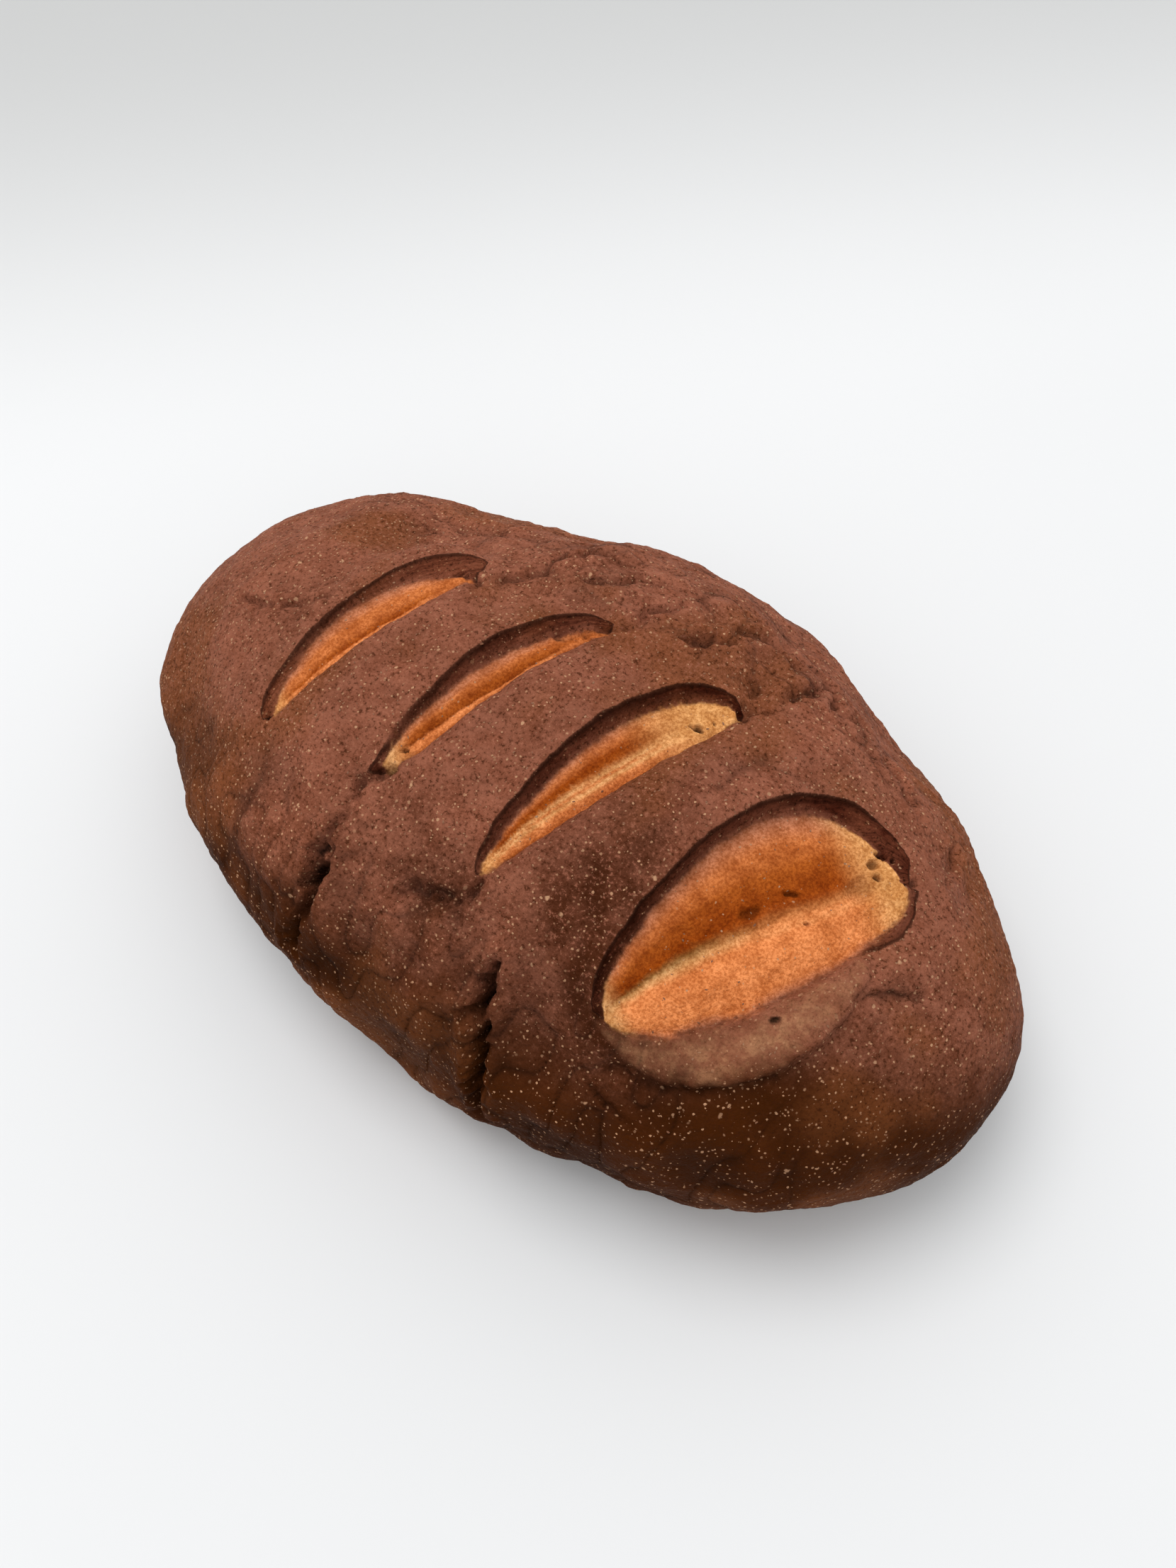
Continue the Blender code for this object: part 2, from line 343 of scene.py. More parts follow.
@dataclass(frozen=True)
class Slash:
    """A cut that opened in the oven. Bows are sideways reaches at its middle, over its centreline."""

    centre: tuple[float, float]
    heading: float
    half_length: float
    skin_half: float
    skin_shift: float
    skin_power: float
    skin_bow: float
    skin_lean: float
    dough_bow: float
    dough_lean: float
    power: float
    near_bow: float
    near_tilt: float
    depth: float
    crease_at: float
    crease_depth: float
    band_height: float
    climb: float
    # Darkening of the cut face, partly the dark outer dough's own colour and partly painted shade,
    # strongest in the deeper slashes
    recess_tone_and_shade: float
    wrap: float
    bands: tuple[tuple[float, DoughTone], ...]
    far_end: tuple[float, float, DoughTone]
    near_end: tuple[float, float, DoughTone]

    def lines(self, x: Array, y: Array) -> SlashLines:
        """Where the slash's lines run beside some places.

        Args:
            x: Places along the loaf.
            y: Places across the loaf.

        Returns:
            The places in the slash's own terms, with its lines.
        """
        turn = math.radians(self.heading)
        dx = x - self.centre[0]
        dy = y - self.centre[1]
        along = dx * math.cos(turn) + dy * math.sin(turn)
        across = dx * math.sin(turn) - dy * math.cos(turn)
        share = np.clip(along / self.half_length, -1.0, 1.0)
        bow = np.sqrt(1.0 - share * share)
        dough = -self.dough_bow * bow**self.power * (1.0 + self.dough_lean * share)
        skin_share = np.clip((along - self.skin_shift) / self.skin_half, -1.0, 1.0)
        skin_bow = np.sqrt(1.0 - skin_share * skin_share)
        skin = -self.skin_bow * skin_bow**self.skin_power * (1.0 + self.skin_lean * skin_share)
        skin = np.minimum(skin, dough - LEAST_RECESS * bow)
        near = bow * (self.near_bow - self.near_tilt * share)
        crease = np.clip(self.crease_at * bow, dough + LEAST_SIDE, near - LEAST_SIDE)
        return SlashLines(along, across, share, bow, skin_bow, skin, dough, crease, near)

    def relief(self, lines: SlashLines) -> Array:
        """How far the slash lowers or lifts the crust.

        Args:
            lines: Places in the slash's own terms.

        Returns:
            Heights in millimetres.
        """
        deep = self.depth * lines.bow**DEPTH_POWER
        hollow = self.depth * lines.skin_bow**DEPTH_POWER
        ends = 1.0 - 0.8 * smooth_step(0.15, 0.6, lines.share)
        fold = self.crease_depth * lines.bow**DEPTH_POWER * ends
        lip = FAR_LIP_HEIGHT * lines.skin_bow**2
        band = self.band_height * lines.bow**2
        crease = lines.crease
        near = lines.near
        gap = lines.dough - lines.skin
        band_start, band_end, band_foot = (near + reach for reach in NEAR_BAND)
        stops = (
            Stop(lines.skin - FAR_REACH, 0.0),
            Stop(lines.skin, lip),
            Stop(lines.skin + np.minimum(SKIN_WALL, 0.5 * gap), -SKIN_FLOOR * hollow),
            Stop(lines.skin + 0.75 * gap, -SKIN_FLOOR * hollow - FACE_DROP * deep),
            Stop(lines.dough, -DOUGH_EDGE_FLOOR * deep, Rise.EVEN),
            Stop((lines.dough + crease) / 2.0, -DOUGH_FLOOR * deep),
            Stop(crease, -DOUGH_FLOOR * deep - fold),
            Stop(crease + 0.45 * (near - crease), -DOUGH_EDGE_FLOOR * deep),
            Stop(near, -deep),
            Stop(band_start, band, Rise.ROUND),
            Stop(band_end, band, Rise.EVEN),
            Stop(band_foot, 0.0),
        )
        return cross_section(lines.across, stops)

    def overrun(self, lines: SlashLines) -> Array:
        """How far points lie past the ends of the pale dough."""
        return np.maximum(np.abs(lines.along) - self.half_length, 0.0)

    def skin_overrun(self, lines: SlashLines) -> Array:
        """How far points lie past the ends of the split skin."""
        return np.maximum(np.abs(lines.along - self.skin_shift) - self.skin_half, 0.0)

    def inside_dough(self, lines: SlashLines) -> Array:
        """Distance inside the pale dough, less than zero outside it."""
        limit = lines.near + self.climb * lines.bow
        return np.minimum(lines.across - lines.dough, limit - lines.across) - self.overrun(lines)

    def inside_cut(self, lines: SlashLines) -> Array:
        """Distance inside the whole opening, less than zero outside it."""
        taper = max(WRAP_TAPER * self.wrap, END_TAPER)
        limit = lines.near + self.climb * lines.bow - taper * self.overrun(lines)
        inside = np.minimum(lines.across - lines.skin, limit - lines.across)
        inside = inside - self.skin_overrun(lines)
        rim = self.wrap * smooth_step(0.45, 0.85, lines.share)
        return np.maximum(inside, self.inside_dough(lines) + rim)

    def apart(self, lines: SlashLines) -> Array:
        """A number for each place that sets this slash's streaks apart from the others'."""
        return np.full(len(lines.across), self.centre[0] * 3.1)

    def grain(self, lines: SlashLines) -> Array:
        """Coordinates that follow the slash, for streaks that run along it.

        Args:
            lines: Places in the slash's own terms.

        Returns:
            Rows of places along, across and a number that sets this slash apart.
        """
        across = lines.cut_share() * (self.skin_bow + self.near_bow)
        return np.stack([lines.along, across, self.apart(lines)], axis=1)

    def tint(self, lines: SlashLines) -> Array:
        """Colour of the pale dough.

        Args:
            lines: Places in the slash's own terms.

        Returns:
            Rows of red, green and blue.
        """
        where = np.stack([lines.along / 9.0, lines.across / 5.0, self.apart(lines)], axis=1)
        wander = SmoothNoise(81).at(where)
        place = np.clip(lines.dough_share() * (1.0 + 0.07 * wander), 0.0, 1.0)
        stops = [stop for stop, _ in self.bands]
        tones = [tone.value for _, tone in self.bands]
        colour = np.stack([np.interp(place, stops, part) for part in zip(*tones)], axis=1)
        plain = 0.9 * (self.wrap > 0.0) * smooth_step(-0.35, 0.15, lines.share + 0.15 * wander)
        plain = (plain * np.exp(-(((place - 0.52) / 0.055) ** 2)))[:, None]
        colour = colour * (1.0 - plain) + np.array(DoughTone.BRIGHT.value) * plain
        for start, full, tone in (self.far_end, self.near_end):
            share = smooth_step(min(start, full), max(start, full), lines.share)[:, None]
            share = share if full > start else 1.0 - share
            colour = colour * (1.0 - share) + np.array(tone.value) * share
        return colour


# In the bands, the tones darken into each crease and turn pale just past it: painted shade in the crease
# and a painted highlight on the ridge beside it.
SLASHES = (
    Slash(
        centre=(-46.6, -9.0), heading=73.5, half_length=29.5, skin_half=34.0, skin_shift=2.2,
        skin_power=0.7, skin_bow=16.0, skin_lean=0.27, dough_bow=14.4, dough_lean=0.10, power=1.4,
        near_bow=-2.5, near_tilt=0.5, depth=2.0, crease_at=-4.2, crease_depth=0.5, band_height=1.6,
        climb=0.4, recess_tone_and_shade=0.05, wrap=0.0,
        bands=(
            (0.0, DoughTone.EDGE), (0.12, DoughTone.PINK), (0.25, DoughTone.ORANGE),
            (0.36, DoughTone.ORANGE), (0.46, DoughTone.BROWN), (0.5, DoughTone.AMBER),
            (0.6, DoughTone.BRIGHT), (1.0, DoughTone.BRIGHT),
        ),
        far_end=(0.5, 1.0, DoughTone.ORANGE),
        near_end=(-0.75, -1.0, DoughTone.YELLOW),
    ),
    Slash(
        centre=(-10.8, -4.8), heading=71.5, half_length=31.0, skin_half=34.8, skin_shift=-1.0,
        skin_power=1.0, skin_bow=13.0, skin_lean=0.47, dough_bow=10.8, dough_lean=0.12, power=1.0,
        near_bow=-2.0, near_tilt=3.0, depth=3.9, crease_at=-4.2, crease_depth=1.1, band_height=2.0,
        climb=0.5, recess_tone_and_shade=0.35, wrap=0.0,
        bands=(
            (0.0, DoughTone.EDGE), (0.07, DoughTone.PINK), (0.15, DoughTone.PINK),
            (0.25, DoughTone.ORANGE), (0.36, DoughTone.BROWN), (0.44, DoughTone.BROWN),
            (0.5, DoughTone.DEEP), (0.58, DoughTone.BRIGHT), (0.8, DoughTone.BRIGHT),
            (1.0, DoughTone.BROWN),
        ),
        far_end=(0.45, 1.0, DoughTone.ORANGE),
        near_end=(-0.7, -0.95, DoughTone.CREAM),
    ),
    Slash(
        centre=(24.9, -6.9), heading=70.5, half_length=35.2, skin_half=36.6, skin_shift=0.8,
        skin_power=0.85, skin_bow=15.0, skin_lean=0.37, dough_bow=12.6, dough_lean=0.40, power=1.0,
        near_bow=0.2, near_tilt=0.6, depth=4.8, crease_at=-5.0, crease_depth=1.0, band_height=1.8,
        climb=0.5, recess_tone_and_shade=0.7, wrap=0.0,
        bands=(
            (0.0, DoughTone.EDGE), (0.07, DoughTone.PINK), (0.18, DoughTone.ORANGE),
            (0.3, DoughTone.AMBER), (0.42, DoughTone.BROWN), (0.5, DoughTone.CREAM),
            (0.58, DoughTone.ORANGE), (0.66, DoughTone.CREAM), (0.76, DoughTone.BRIGHT),
            (1.0, DoughTone.BROWN),
        ),
        far_end=(0.15, 0.8, DoughTone.YELLOW),
        near_end=(-0.8, -1.0, DoughTone.YELLOW),
    ),
    Slash(
        centre=(70.8, -16.4), heading=60.2, half_length=36.3, skin_half=39.6, skin_shift=1.3,
        skin_power=0.75, skin_bow=26.2, skin_lean=0.42, dough_bow=23.8, dough_lean=0.45, power=0.85,
        near_bow=11.4, near_tilt=2.0, depth=5.2, crease_at=-4.0, crease_depth=1.8, band_height=0.4,
        climb=0.3, recess_tone_and_shade=0.65, wrap=2.4,
        bands=(
            (0.0, DoughTone.EDGE), (0.06, DoughTone.PINK), (0.15, DoughTone.ORANGE),
            (0.27, DoughTone.BROWN), (0.44, DoughTone.AMBER), (0.49, DoughTone.OLIVE),
            (0.53, DoughTone.CREAM), (0.59, DoughTone.BRIGHT), (0.92, DoughTone.BRIGHT),
            (0.97, DoughTone.PINK), (1.0, DoughTone.EDGE),
        ),
        far_end=(0.62, 0.97, DoughTone.YELLOW),
        near_end=(-0.85, -1.0, DoughTone.CREAM),
    ),
)

@dataclass(frozen=True)
class RolledLip:
    """The rolled lower lip of the widest slash, with a step below its edge."""

    slash: Slash = SLASHES[3]
    middle: float = -7.0
    half_length: float = 31.0
    bow_reach: float = 21.5
    height: float = 2.4
    step: float = 3.0

    def bow(self, lines: SlashLines) -> Array:
        """Share of its full reach beside each place."""
        share = np.clip((lines.along - self.middle) / self.half_length, -1.0, 1.0)
        return np.sqrt(1.0 - share * share)

    def relief(self, x: Array, y: Array) -> Array:
        """Height of the lip.

        Args:
            x: Places along the loaf.
            y: Places across the loaf.

        Returns:
            Heights in millimetres.
        """
        lines = self.slash.lines(x, y)
        bow = self.bow(lines)
        edge = self.bow_reach * bow
        height = self.height * bow**2
        stops = (
            Stop(self.slash.near_bow * bow, 0.0, Rise.EVEN),
            Stop(edge, height),
            Stop(edge + 2.2, height - self.step * bow**2),
            Stop(edge + 12.0, 0.0),
        )
        return cross_section(lines.across, stops)

    def inside(self, x: Array, y: Array) -> Array:
        """Distance inside the lip's band.

        Args:
            x: Places along the loaf.
            y: Places across the loaf.

        Returns:
            Distances in millimetres, less than zero outside.
        """
        lines = self.slash.lines(x, y)
        bow = self.bow(lines)
        past = np.maximum(np.abs(lines.along - self.middle) - self.half_length, 0.0)
        return np.minimum(lines.across - lines.near, self.bow_reach * bow - lines.across) - past


@dataclass(frozen=True)
class Groove:
    """A crack or crease: a route over the crust, its width, depth, raised shoulders and the painted shade
    along it.
    """

    route: tuple[Place, ...]
    width: float
    depth: float
    shoulder: float
    dark: float = 0.35
    slit: float = 0.0
    sharp: float = 2.0

    def away(self, points: Array) -> Array:
        """Distance from the route, as a share of the width.

        Args:
            points: Points as rows.

        Returns:
            One share for each point.
        """
        nearest = np.full(len(points), np.inf)
        for _, _, offset in along_route(points, self.route):
            nearest = np.minimum(nearest, np.linalg.norm(offset, axis=1))
        return nearest / self.width

    def press(self, points: Array, heights: Array, shade: Array) -> None:
        """Adds the groove to the relief, and painted shade along its middle to the shade.

        Args:
            points: Points as rows.
            heights: Relief, which is changed.
            shade: Light that reaches the surface, from 0 to 1, which is changed.
        """
        part = close_by(points, np.array(self.route, dtype=float), 5.0 * self.width)
        here = points[part]
        bent = np.stack([SmoothNoise(91 + axis).at(here / 3.6) for axis in range(3)], axis=1)
        away = self.away(here + 1.1 * bent + 0.45 * SmoothNoise(94).at(here / 1.3)[:, None])
        valley = self.depth * np.exp(-((1.3 * away) ** self.sharp))
        slit = self.slit * np.exp(-((3.4 * away) ** 2))
        heights[part] += self.shoulder * np.exp(-((away - 2.0) ** 2)) - valley - slit
        # Painted shade in the crack.
        shade[part] *= 1.0 - self.dark * np.exp(-((2.4 * away) ** 2))


@dataclass(frozen=True)
class Fold:
    """Crust pushed over itself: raised on the left of its route, with a narrow valley on the right."""

    route: tuple[Place, ...]
    height: float
    width: float
    valley: float = 0.6
    dark: float = 0.7

    def press(self, points: Array, outward: Array, heights: Array, shade: Array) -> None:
        """Adds the fold to the relief, and a line of painted shade in its valley to the shade.

        Args:
            points: Points as rows.
            outward: Direction out of the crust at each point.
            heights: Relief, which is changed.
            shade: Light that reaches the surface, from 0 to 1, which is changed.
        """
        part = close_by(points, np.array(self.route, dtype=float), 3.0 * self.width)
        here = points[part]
        out = outward[part]
        nearest = np.full(len(here), np.inf)
        side = np.zeros(len(here))
        place = np.zeros(len(here))
        count = len(self.route) - 1
        for number, (run, share, offset) in enumerate(along_route(here, self.route)):
            gap = np.linalg.norm(offset, axis=1)
            left = np.einsum("ij,ij->i", np.cross(run, offset), out)
            closer = gap < nearest
            nearest = np.where(closer, gap, nearest)
            side = np.where(closer, left, side)
            place = np.where(closer, (number + share) / count, place)
        strength = np.sqrt(np.clip(4.0 * place * (1.0 - place), 0.0, 1.0))
        raised = self.height * np.exp(-((nearest / self.width) ** 2))
        sunk = -0.5 * self.height * np.exp(-((nearest / self.valley) ** 2))
        rim = smooth_step(-0.20, 0.20, np.sign(side) * nearest)
        heights[part] += strength * (rim * raised + (1.0 - rim) * sunk)
        # Painted shade: a dark line in the valley beside the raised side.
        line = np.exp(-(((np.sign(side) * nearest + 0.30) / 0.42) ** 2))
        shade[part] *= 1.0 - self.dark * strength * line


@dataclass(frozen=True)
class Mound:
    """A rounded swelling of the crust, or a hollow where its height is negative."""

    place: Place
    radius: float
    height: float

    def press(self, points: Array, heights: Array) -> None:
        """Adds the mound to the relief.

        Args:
            points: Points as rows.
            heights: Relief, which is changed.
        """
        part = close_by(points, np.array([self.place], dtype=float), 2.8 * self.radius)
        away = np.linalg.norm(points[part] - np.array(self.place, dtype=float), axis=1)
        heights[part] += self.height * np.exp(-((away / self.radius) ** 2))


@dataclass(frozen=True)
class Bubble:
    """An oval hole that a gas bubble left in the dough or crust, seen from above."""

    centre: tuple[float, float]
    length: float
    width: float
    heading: float
    depth: float
    dark: float = 0.75

    def press(self, points: Array, heights: Array, shade: Array) -> None:
        """Adds the hole to the relief, and painted shade inside it to the shade.

        Args:
            points: Points as rows.
            heights: Relief, which is changed.
            shade: Light that reaches the surface, from 0 to 1, which is changed.
        """
        dx = points[:, 0] - self.centre[0]
        dy = points[:, 1] - self.centre[1]
        reach = 1.6 * max(self.length, self.width)
        part = np.flatnonzero((np.abs(dx) < reach) & (np.abs(dy) < reach) & (points[:, 2] > 40.0))
        turn = math.radians(self.heading)
        along = (dx[part] * math.cos(turn) + dy[part] * math.sin(turn)) / (self.length / 2.0)
        across = (dx[part] * math.sin(turn) - dy[part] * math.cos(turn)) / (self.width / 2.0)
        away = np.hypot(along, across)
        floor = 1.0 - smooth_step(0.45, 1.05, away)
        rim = 0.12 * self.depth * np.exp(-(((away - 1.25) / 0.25) ** 2))
        heights[part] += rim - self.depth * floor
        # Painted shade inside the hole.
        shade[part] *= 1.0 - self.dark * (1.0 - smooth_step(0.55, 1.0, away))


GROOVES = (
    Groove(
        ((-20, -34, 79), (-23, -40, 77), (-22, -50, 72), (-20, -56, 68), (-21, -68, 56)),
        1.7, 2.6, 0.5, 0.7, 0.6, 3.0,
    ),
    Groove(
        ((-21, -57, 67), (-20, -63, 61), (-21, -68, 56), (-22, -73, 45)),
        2.2, 3.6, 0.6, 0.75, 1.2, 3.0,
    ),
    Groove(((-24, -54, 69), (-23, -58, 66), (-22, -62, 62)), 2.5, 4.2, 0.2, 0.97, 0.0, 4.0),
    Groove(
        ((15, -40, 77), (13, -46, 74), (7, -48, 73), (1, -50, 73), (0, -54, 71)),
        1.7, 2.2, 0.4, 0.6, 0.0, 3.0,
    ),
    Groove(((27, -52, 69), (28, -58, 65), (29, -65, 58), (32, -66, 56)), 2.2, 2.2, 0.7, 0.3),
    Groove(((32, -66, 56), (33, -69, 50), (35, -73, 38), (34, -74, 26)), 2.2, 2.4, 0.7, 0.4),
    Groove(
        ((27, -54, 69), (26, -56, 67), (28, -59, 64), (28, -62, 61), (26, -64, 59)),
        1.9, 4.6, 0.5, 0.97, 0.0, 4.0,
    ),
    Groove(
        ((31, -63, 60), (31, -66, 56), (32, -69, 51), (33, -72, 44), (34, -73, 32)),
        1.9, 4.8, 0.5, 0.97, 0.0, 4.0,
    ),
    Groove(((-25, -64, 60), (-24, -70, 53), (-25, -73, 43)), 1.7, 1.6, 0.3, 0.5),
    Groove(((-30, -65, 59), (-28, -66, 57)), 1.0, 0.8, 0.1, 0.5),
    Groove(((-11, 19, 82), (-8, 21, 82), (-4, 23, 81), (-2, 26, 81), (0, 28, 81)), 1.2, 1.0, 0.2, 0.7),
    Groove(((-45, 19, 79), (-41, 19, 80), (-36, 21, 80)), 1.1, 0.8, 0.2, 0.6),
    Groove(((31, 38, 76), (35, 34, 77), (35, 28, 79)), 2.2, 1.4, 0.3, 0.4),
    Groove(
        ((60, -55, 61), (65, -53, 61), (73, -49, 62), (81, -42, 63), (87, -35, 64)),
        1.7, 1.0, 0.2, 0.45,
    ),
    Groove(((12, 36, 79), (15, 35, 79), (18, 37, 78), (18, 42, 76), (21, 42, 76)), 1.8, 1.2, 0.4, 0.7),
    Groove(((-92, -15, 68), (-79, -13, 73), (-72, -9, 75), (-67, -4, 77)), 1.8, 1.3, 0.3, 0.35, 0.4),
    Groove(((-38, 18, 80), (-33, 24, 79), (-28, 30, 78), (-27, 39, 76), (-20, 49, 73)), 1.9, 1.6, 0.6, 0.5),
    Groove(((-16, 36, 78), (-11, 38, 78), (-6, 45, 76), (0, 50, 74)), 1.6, 1.4, 0.5, 0.5),
    Groove(((1, 29, 81), (2, 37, 79), (7, 45, 76)), 1.6, 1.5, 0.5, 0.5),
    Groove(
        ((15, 36, 78), (19, 42, 76), (22, 45, 75), (22, 50, 73), (27, 54, 70), (35, 51, 69)),
        1.8, 2.2, 0.8, 0.65,
    ),
    Groove(((36, 27, 78), (40, 36, 76), (43, 43, 73), (45, 50, 69)), 1.9, 2.0, 0.7, 0.55),
    Groove(((30, 56, 67), (44, 53, 67), (52, 47, 68), (58, 49, 65)), 1.6, 1.6, 0.6, 0.5),
    Groove(((66, 46, 64), (74, 40, 65), (80, 36, 65)), 1.7, 1.1, 0.4, 0.45),
    Groove(((90, 40, 54), (93, 34, 59), (94, 26, 64)), 1.7, 1.4, 0.5, 0.45),
    Groove(((92, -13, 68), (97, -7, 67), (103, -1, 65)), 2.0, 1.0, 0.3),
    Groove(((-62, 40, 68), (-50, 43, 70), (-38, 45, 72)), 3.0, 0.9, 0.4),
    Groove(((43, 6, 81), (45, 14, 80), (47, 20, 78)), 3.2, 0.9, 0.3),
)

FOLDS = (
    Fold(((-31, 44, 74), (-35, 46, 72), (-38, 47, 71)), 0.6, 2.4),
    Fold(((-23, 48, 73), (-25, 46, 74), (-27, 41, 75), (-28, 37, 76), (-27, 33, 78)), 1.1, 3.2),
    Fold(((-19, 46, 74), (-21, 46, 74), (-22, 43, 75)), 0.7, 2.2),
    Fold(((-10, 51, 73), (-14, 52, 72), (-17, 51, 72), (-19, 48, 73)), 1.0, 3.0),
    Fold(((-12, 38, 78), (-14, 38, 78), (-16, 36, 78)), 0.8, 2.4),
    Fold(((-2, 64, 65), (-3, 61, 67), (-5, 56, 70), (-6, 52, 73)), 0.7, 3.0, 0.7, 0.25),
    Fold(((10, 51, 73), (7, 47, 75)), 0.6, 1.8),
    Fold(((37, 47, 71), (33, 51, 71), (29, 52, 70), (24, 53, 71), (21, 50, 73), (21, 42, 76)), 1.5, 3.6),
    Fold(((25, 66, 61), (22, 61, 66), (21, 55, 70)), 0.7, 2.4),
    Fold(((43, 55, 66), (39, 56, 66), (35, 55, 67), (32, 53, 69)), 0.8, 2.6),
    Fold(((60, 48, 65), (57, 47, 67), (52, 47, 68), (50, 45, 70)), 0.9, 2.6),
    Fold(((63, 58, 55), (60, 58, 57), (57, 55, 61)), 0.7, 2.2),
    Fold(((45, 47, 70), (43, 47, 70), (43, 43, 72), (43, 40, 74)), 0.8, 2.0),
    Fold(((73, 37, 67), (67, 43, 66), (62, 46, 66), (54, 44, 69)), 0.6, 4.0, 0.8, 0.2),
    Fold(((45, 17, 79), (51, 20, 78), (59, 21, 76)), 0.4, 3.0, 0.8, 0.15),
    Fold(((70, -59, 53), (61, -60, 55), (55, -59, 59)), 0.9, 4.0, 1.0, 0.4),
    Fold(((93, -12, 69), (96, -7, 68), (101, -3, 66)), 0.7, 2.4, 0.7, 0.4),
)

MOUNDS = (
    Mound((3, -49, 73), 6.5, -1.8),
    Mound((-46, -67, 50), 8.0, -1.8),
    Mound((-58, -64, 44), 8.0, 1.2),
    Mound((-33, -70, 46), 7.0, -1.6),
    Mound((-3, -66, 58), 7.0, -2.2),
    Mound((9, -63, 62), 5.0, -1.4),
    Mound((5, -76, 28), 10.0, -1.2),
    Mound((-12, -62, 63), 7.0, 1.2),
    Mound((44, -59, 62), 8.0, -1.6),
    Mound((76, -56, 56), 9.0, 2.0),
    Mound((62, -52, 62), 6.0, -1.4),
    Mound((88, -45, 56), 8.0, -1.2),
    Mound((-34, 58, 64), 9.0, -2.4),
    Mound((-19, 55, 68), 9.0, 1.6),
    Mound((36, 36, 76), 6.5, -2.4),
    Mound((12, 57, 68), 9.0, 1.8),
    Mound((30, 62, 62), 8.0, -1.6),
    Mound((40, 45, 72), 6.0, 1.8),
    Mound((55, 56, 62), 10.0, 1.6),
    Mound((64, 60, 54), 7.0, -1.6),
    Mound((96, 33, 58), 9.0, -1.4),
    Mound((22, 32, 79), 8.0, 1.6),
    Mound((-8, 32, 80), 9.0, 1.2),
    Mound((-28, 4, 84), 13.0, 1.6),
    Mound((8, 2, 84), 12.0, 1.6),
    Mound((42, -6, 82), 14.0, 1.2),
)

# Patches of painted shade on the near side of the slashes and beside the cracks, with the share of the dark
# colour as the height
PAINTED_SHADE_PATCHES = (
    Mound((38, -27, 80), 13.0, 0.75),
    Mound((44, -42, 73), 13.0, 0.7),
    Mound((54, -50, 66), 11.0, 0.6),
    Mound((36, -9, 82), 10.0, 0.25),
    Mound((15, -52, 71), 9.0, 0.4),
    Mound((3, -50, 73), 7.0, 0.5),
)

BUBBLES = (
    Bubble((79.4, 18.7), 3.0, 1.9, 20.0, 2.4),
    Bubble((82.1, 19.6), 1.5, 1.1, 100.0, 1.8),
    Bubble((79.4, 16.0), 3.2, 2.6, 50.0, 1.5, 0.55),
    Bubble((81.9, 14.5), 2.6, 1.2, 10.0, 1.6, 0.6),
    Bubble((80.8, 9.4), 8.5, 7.0, 60.0, 1.3, 0.15),
    Bubble((30.4, 17.9), 3.6, 1.8, 25.0, 2.6, 0.85),
    Bubble((32.0, 21.5), 0.9, 0.8, 0.0, 1.0),
    Bubble((34.5, 19.1), 1.1, 0.8, 0.0, 1.0),
    Bubble((28.8, 17.3), 1.2, 0.9, 0.0, 0.9, 0.5),
    Bubble((-20.4, -28.0), 2.6, 1.5, 60.0, 1.4, 0.7),
    Bubble((-56.0, -38.0), 1.6, 1.2, 60.0, 1.0),
    Bubble((69.5, -1.9), 4.2, 1.6, 40.0, 1.0, 0.55),
    Bubble((65.1, -11.5), 6.5, 2.6, 60.0, 0.8, 0.45),
    Bubble((75.8, -5.0), 1.4, 1.1, 30.0, 0.8, 0.45),
    Bubble((81.0, -27.0), 3.0, 1.6, 50.0, 1.6),
    Bubble((88.6, 18.2), 3.6, 1.8, 80.0, 1.0, 0.4),
)


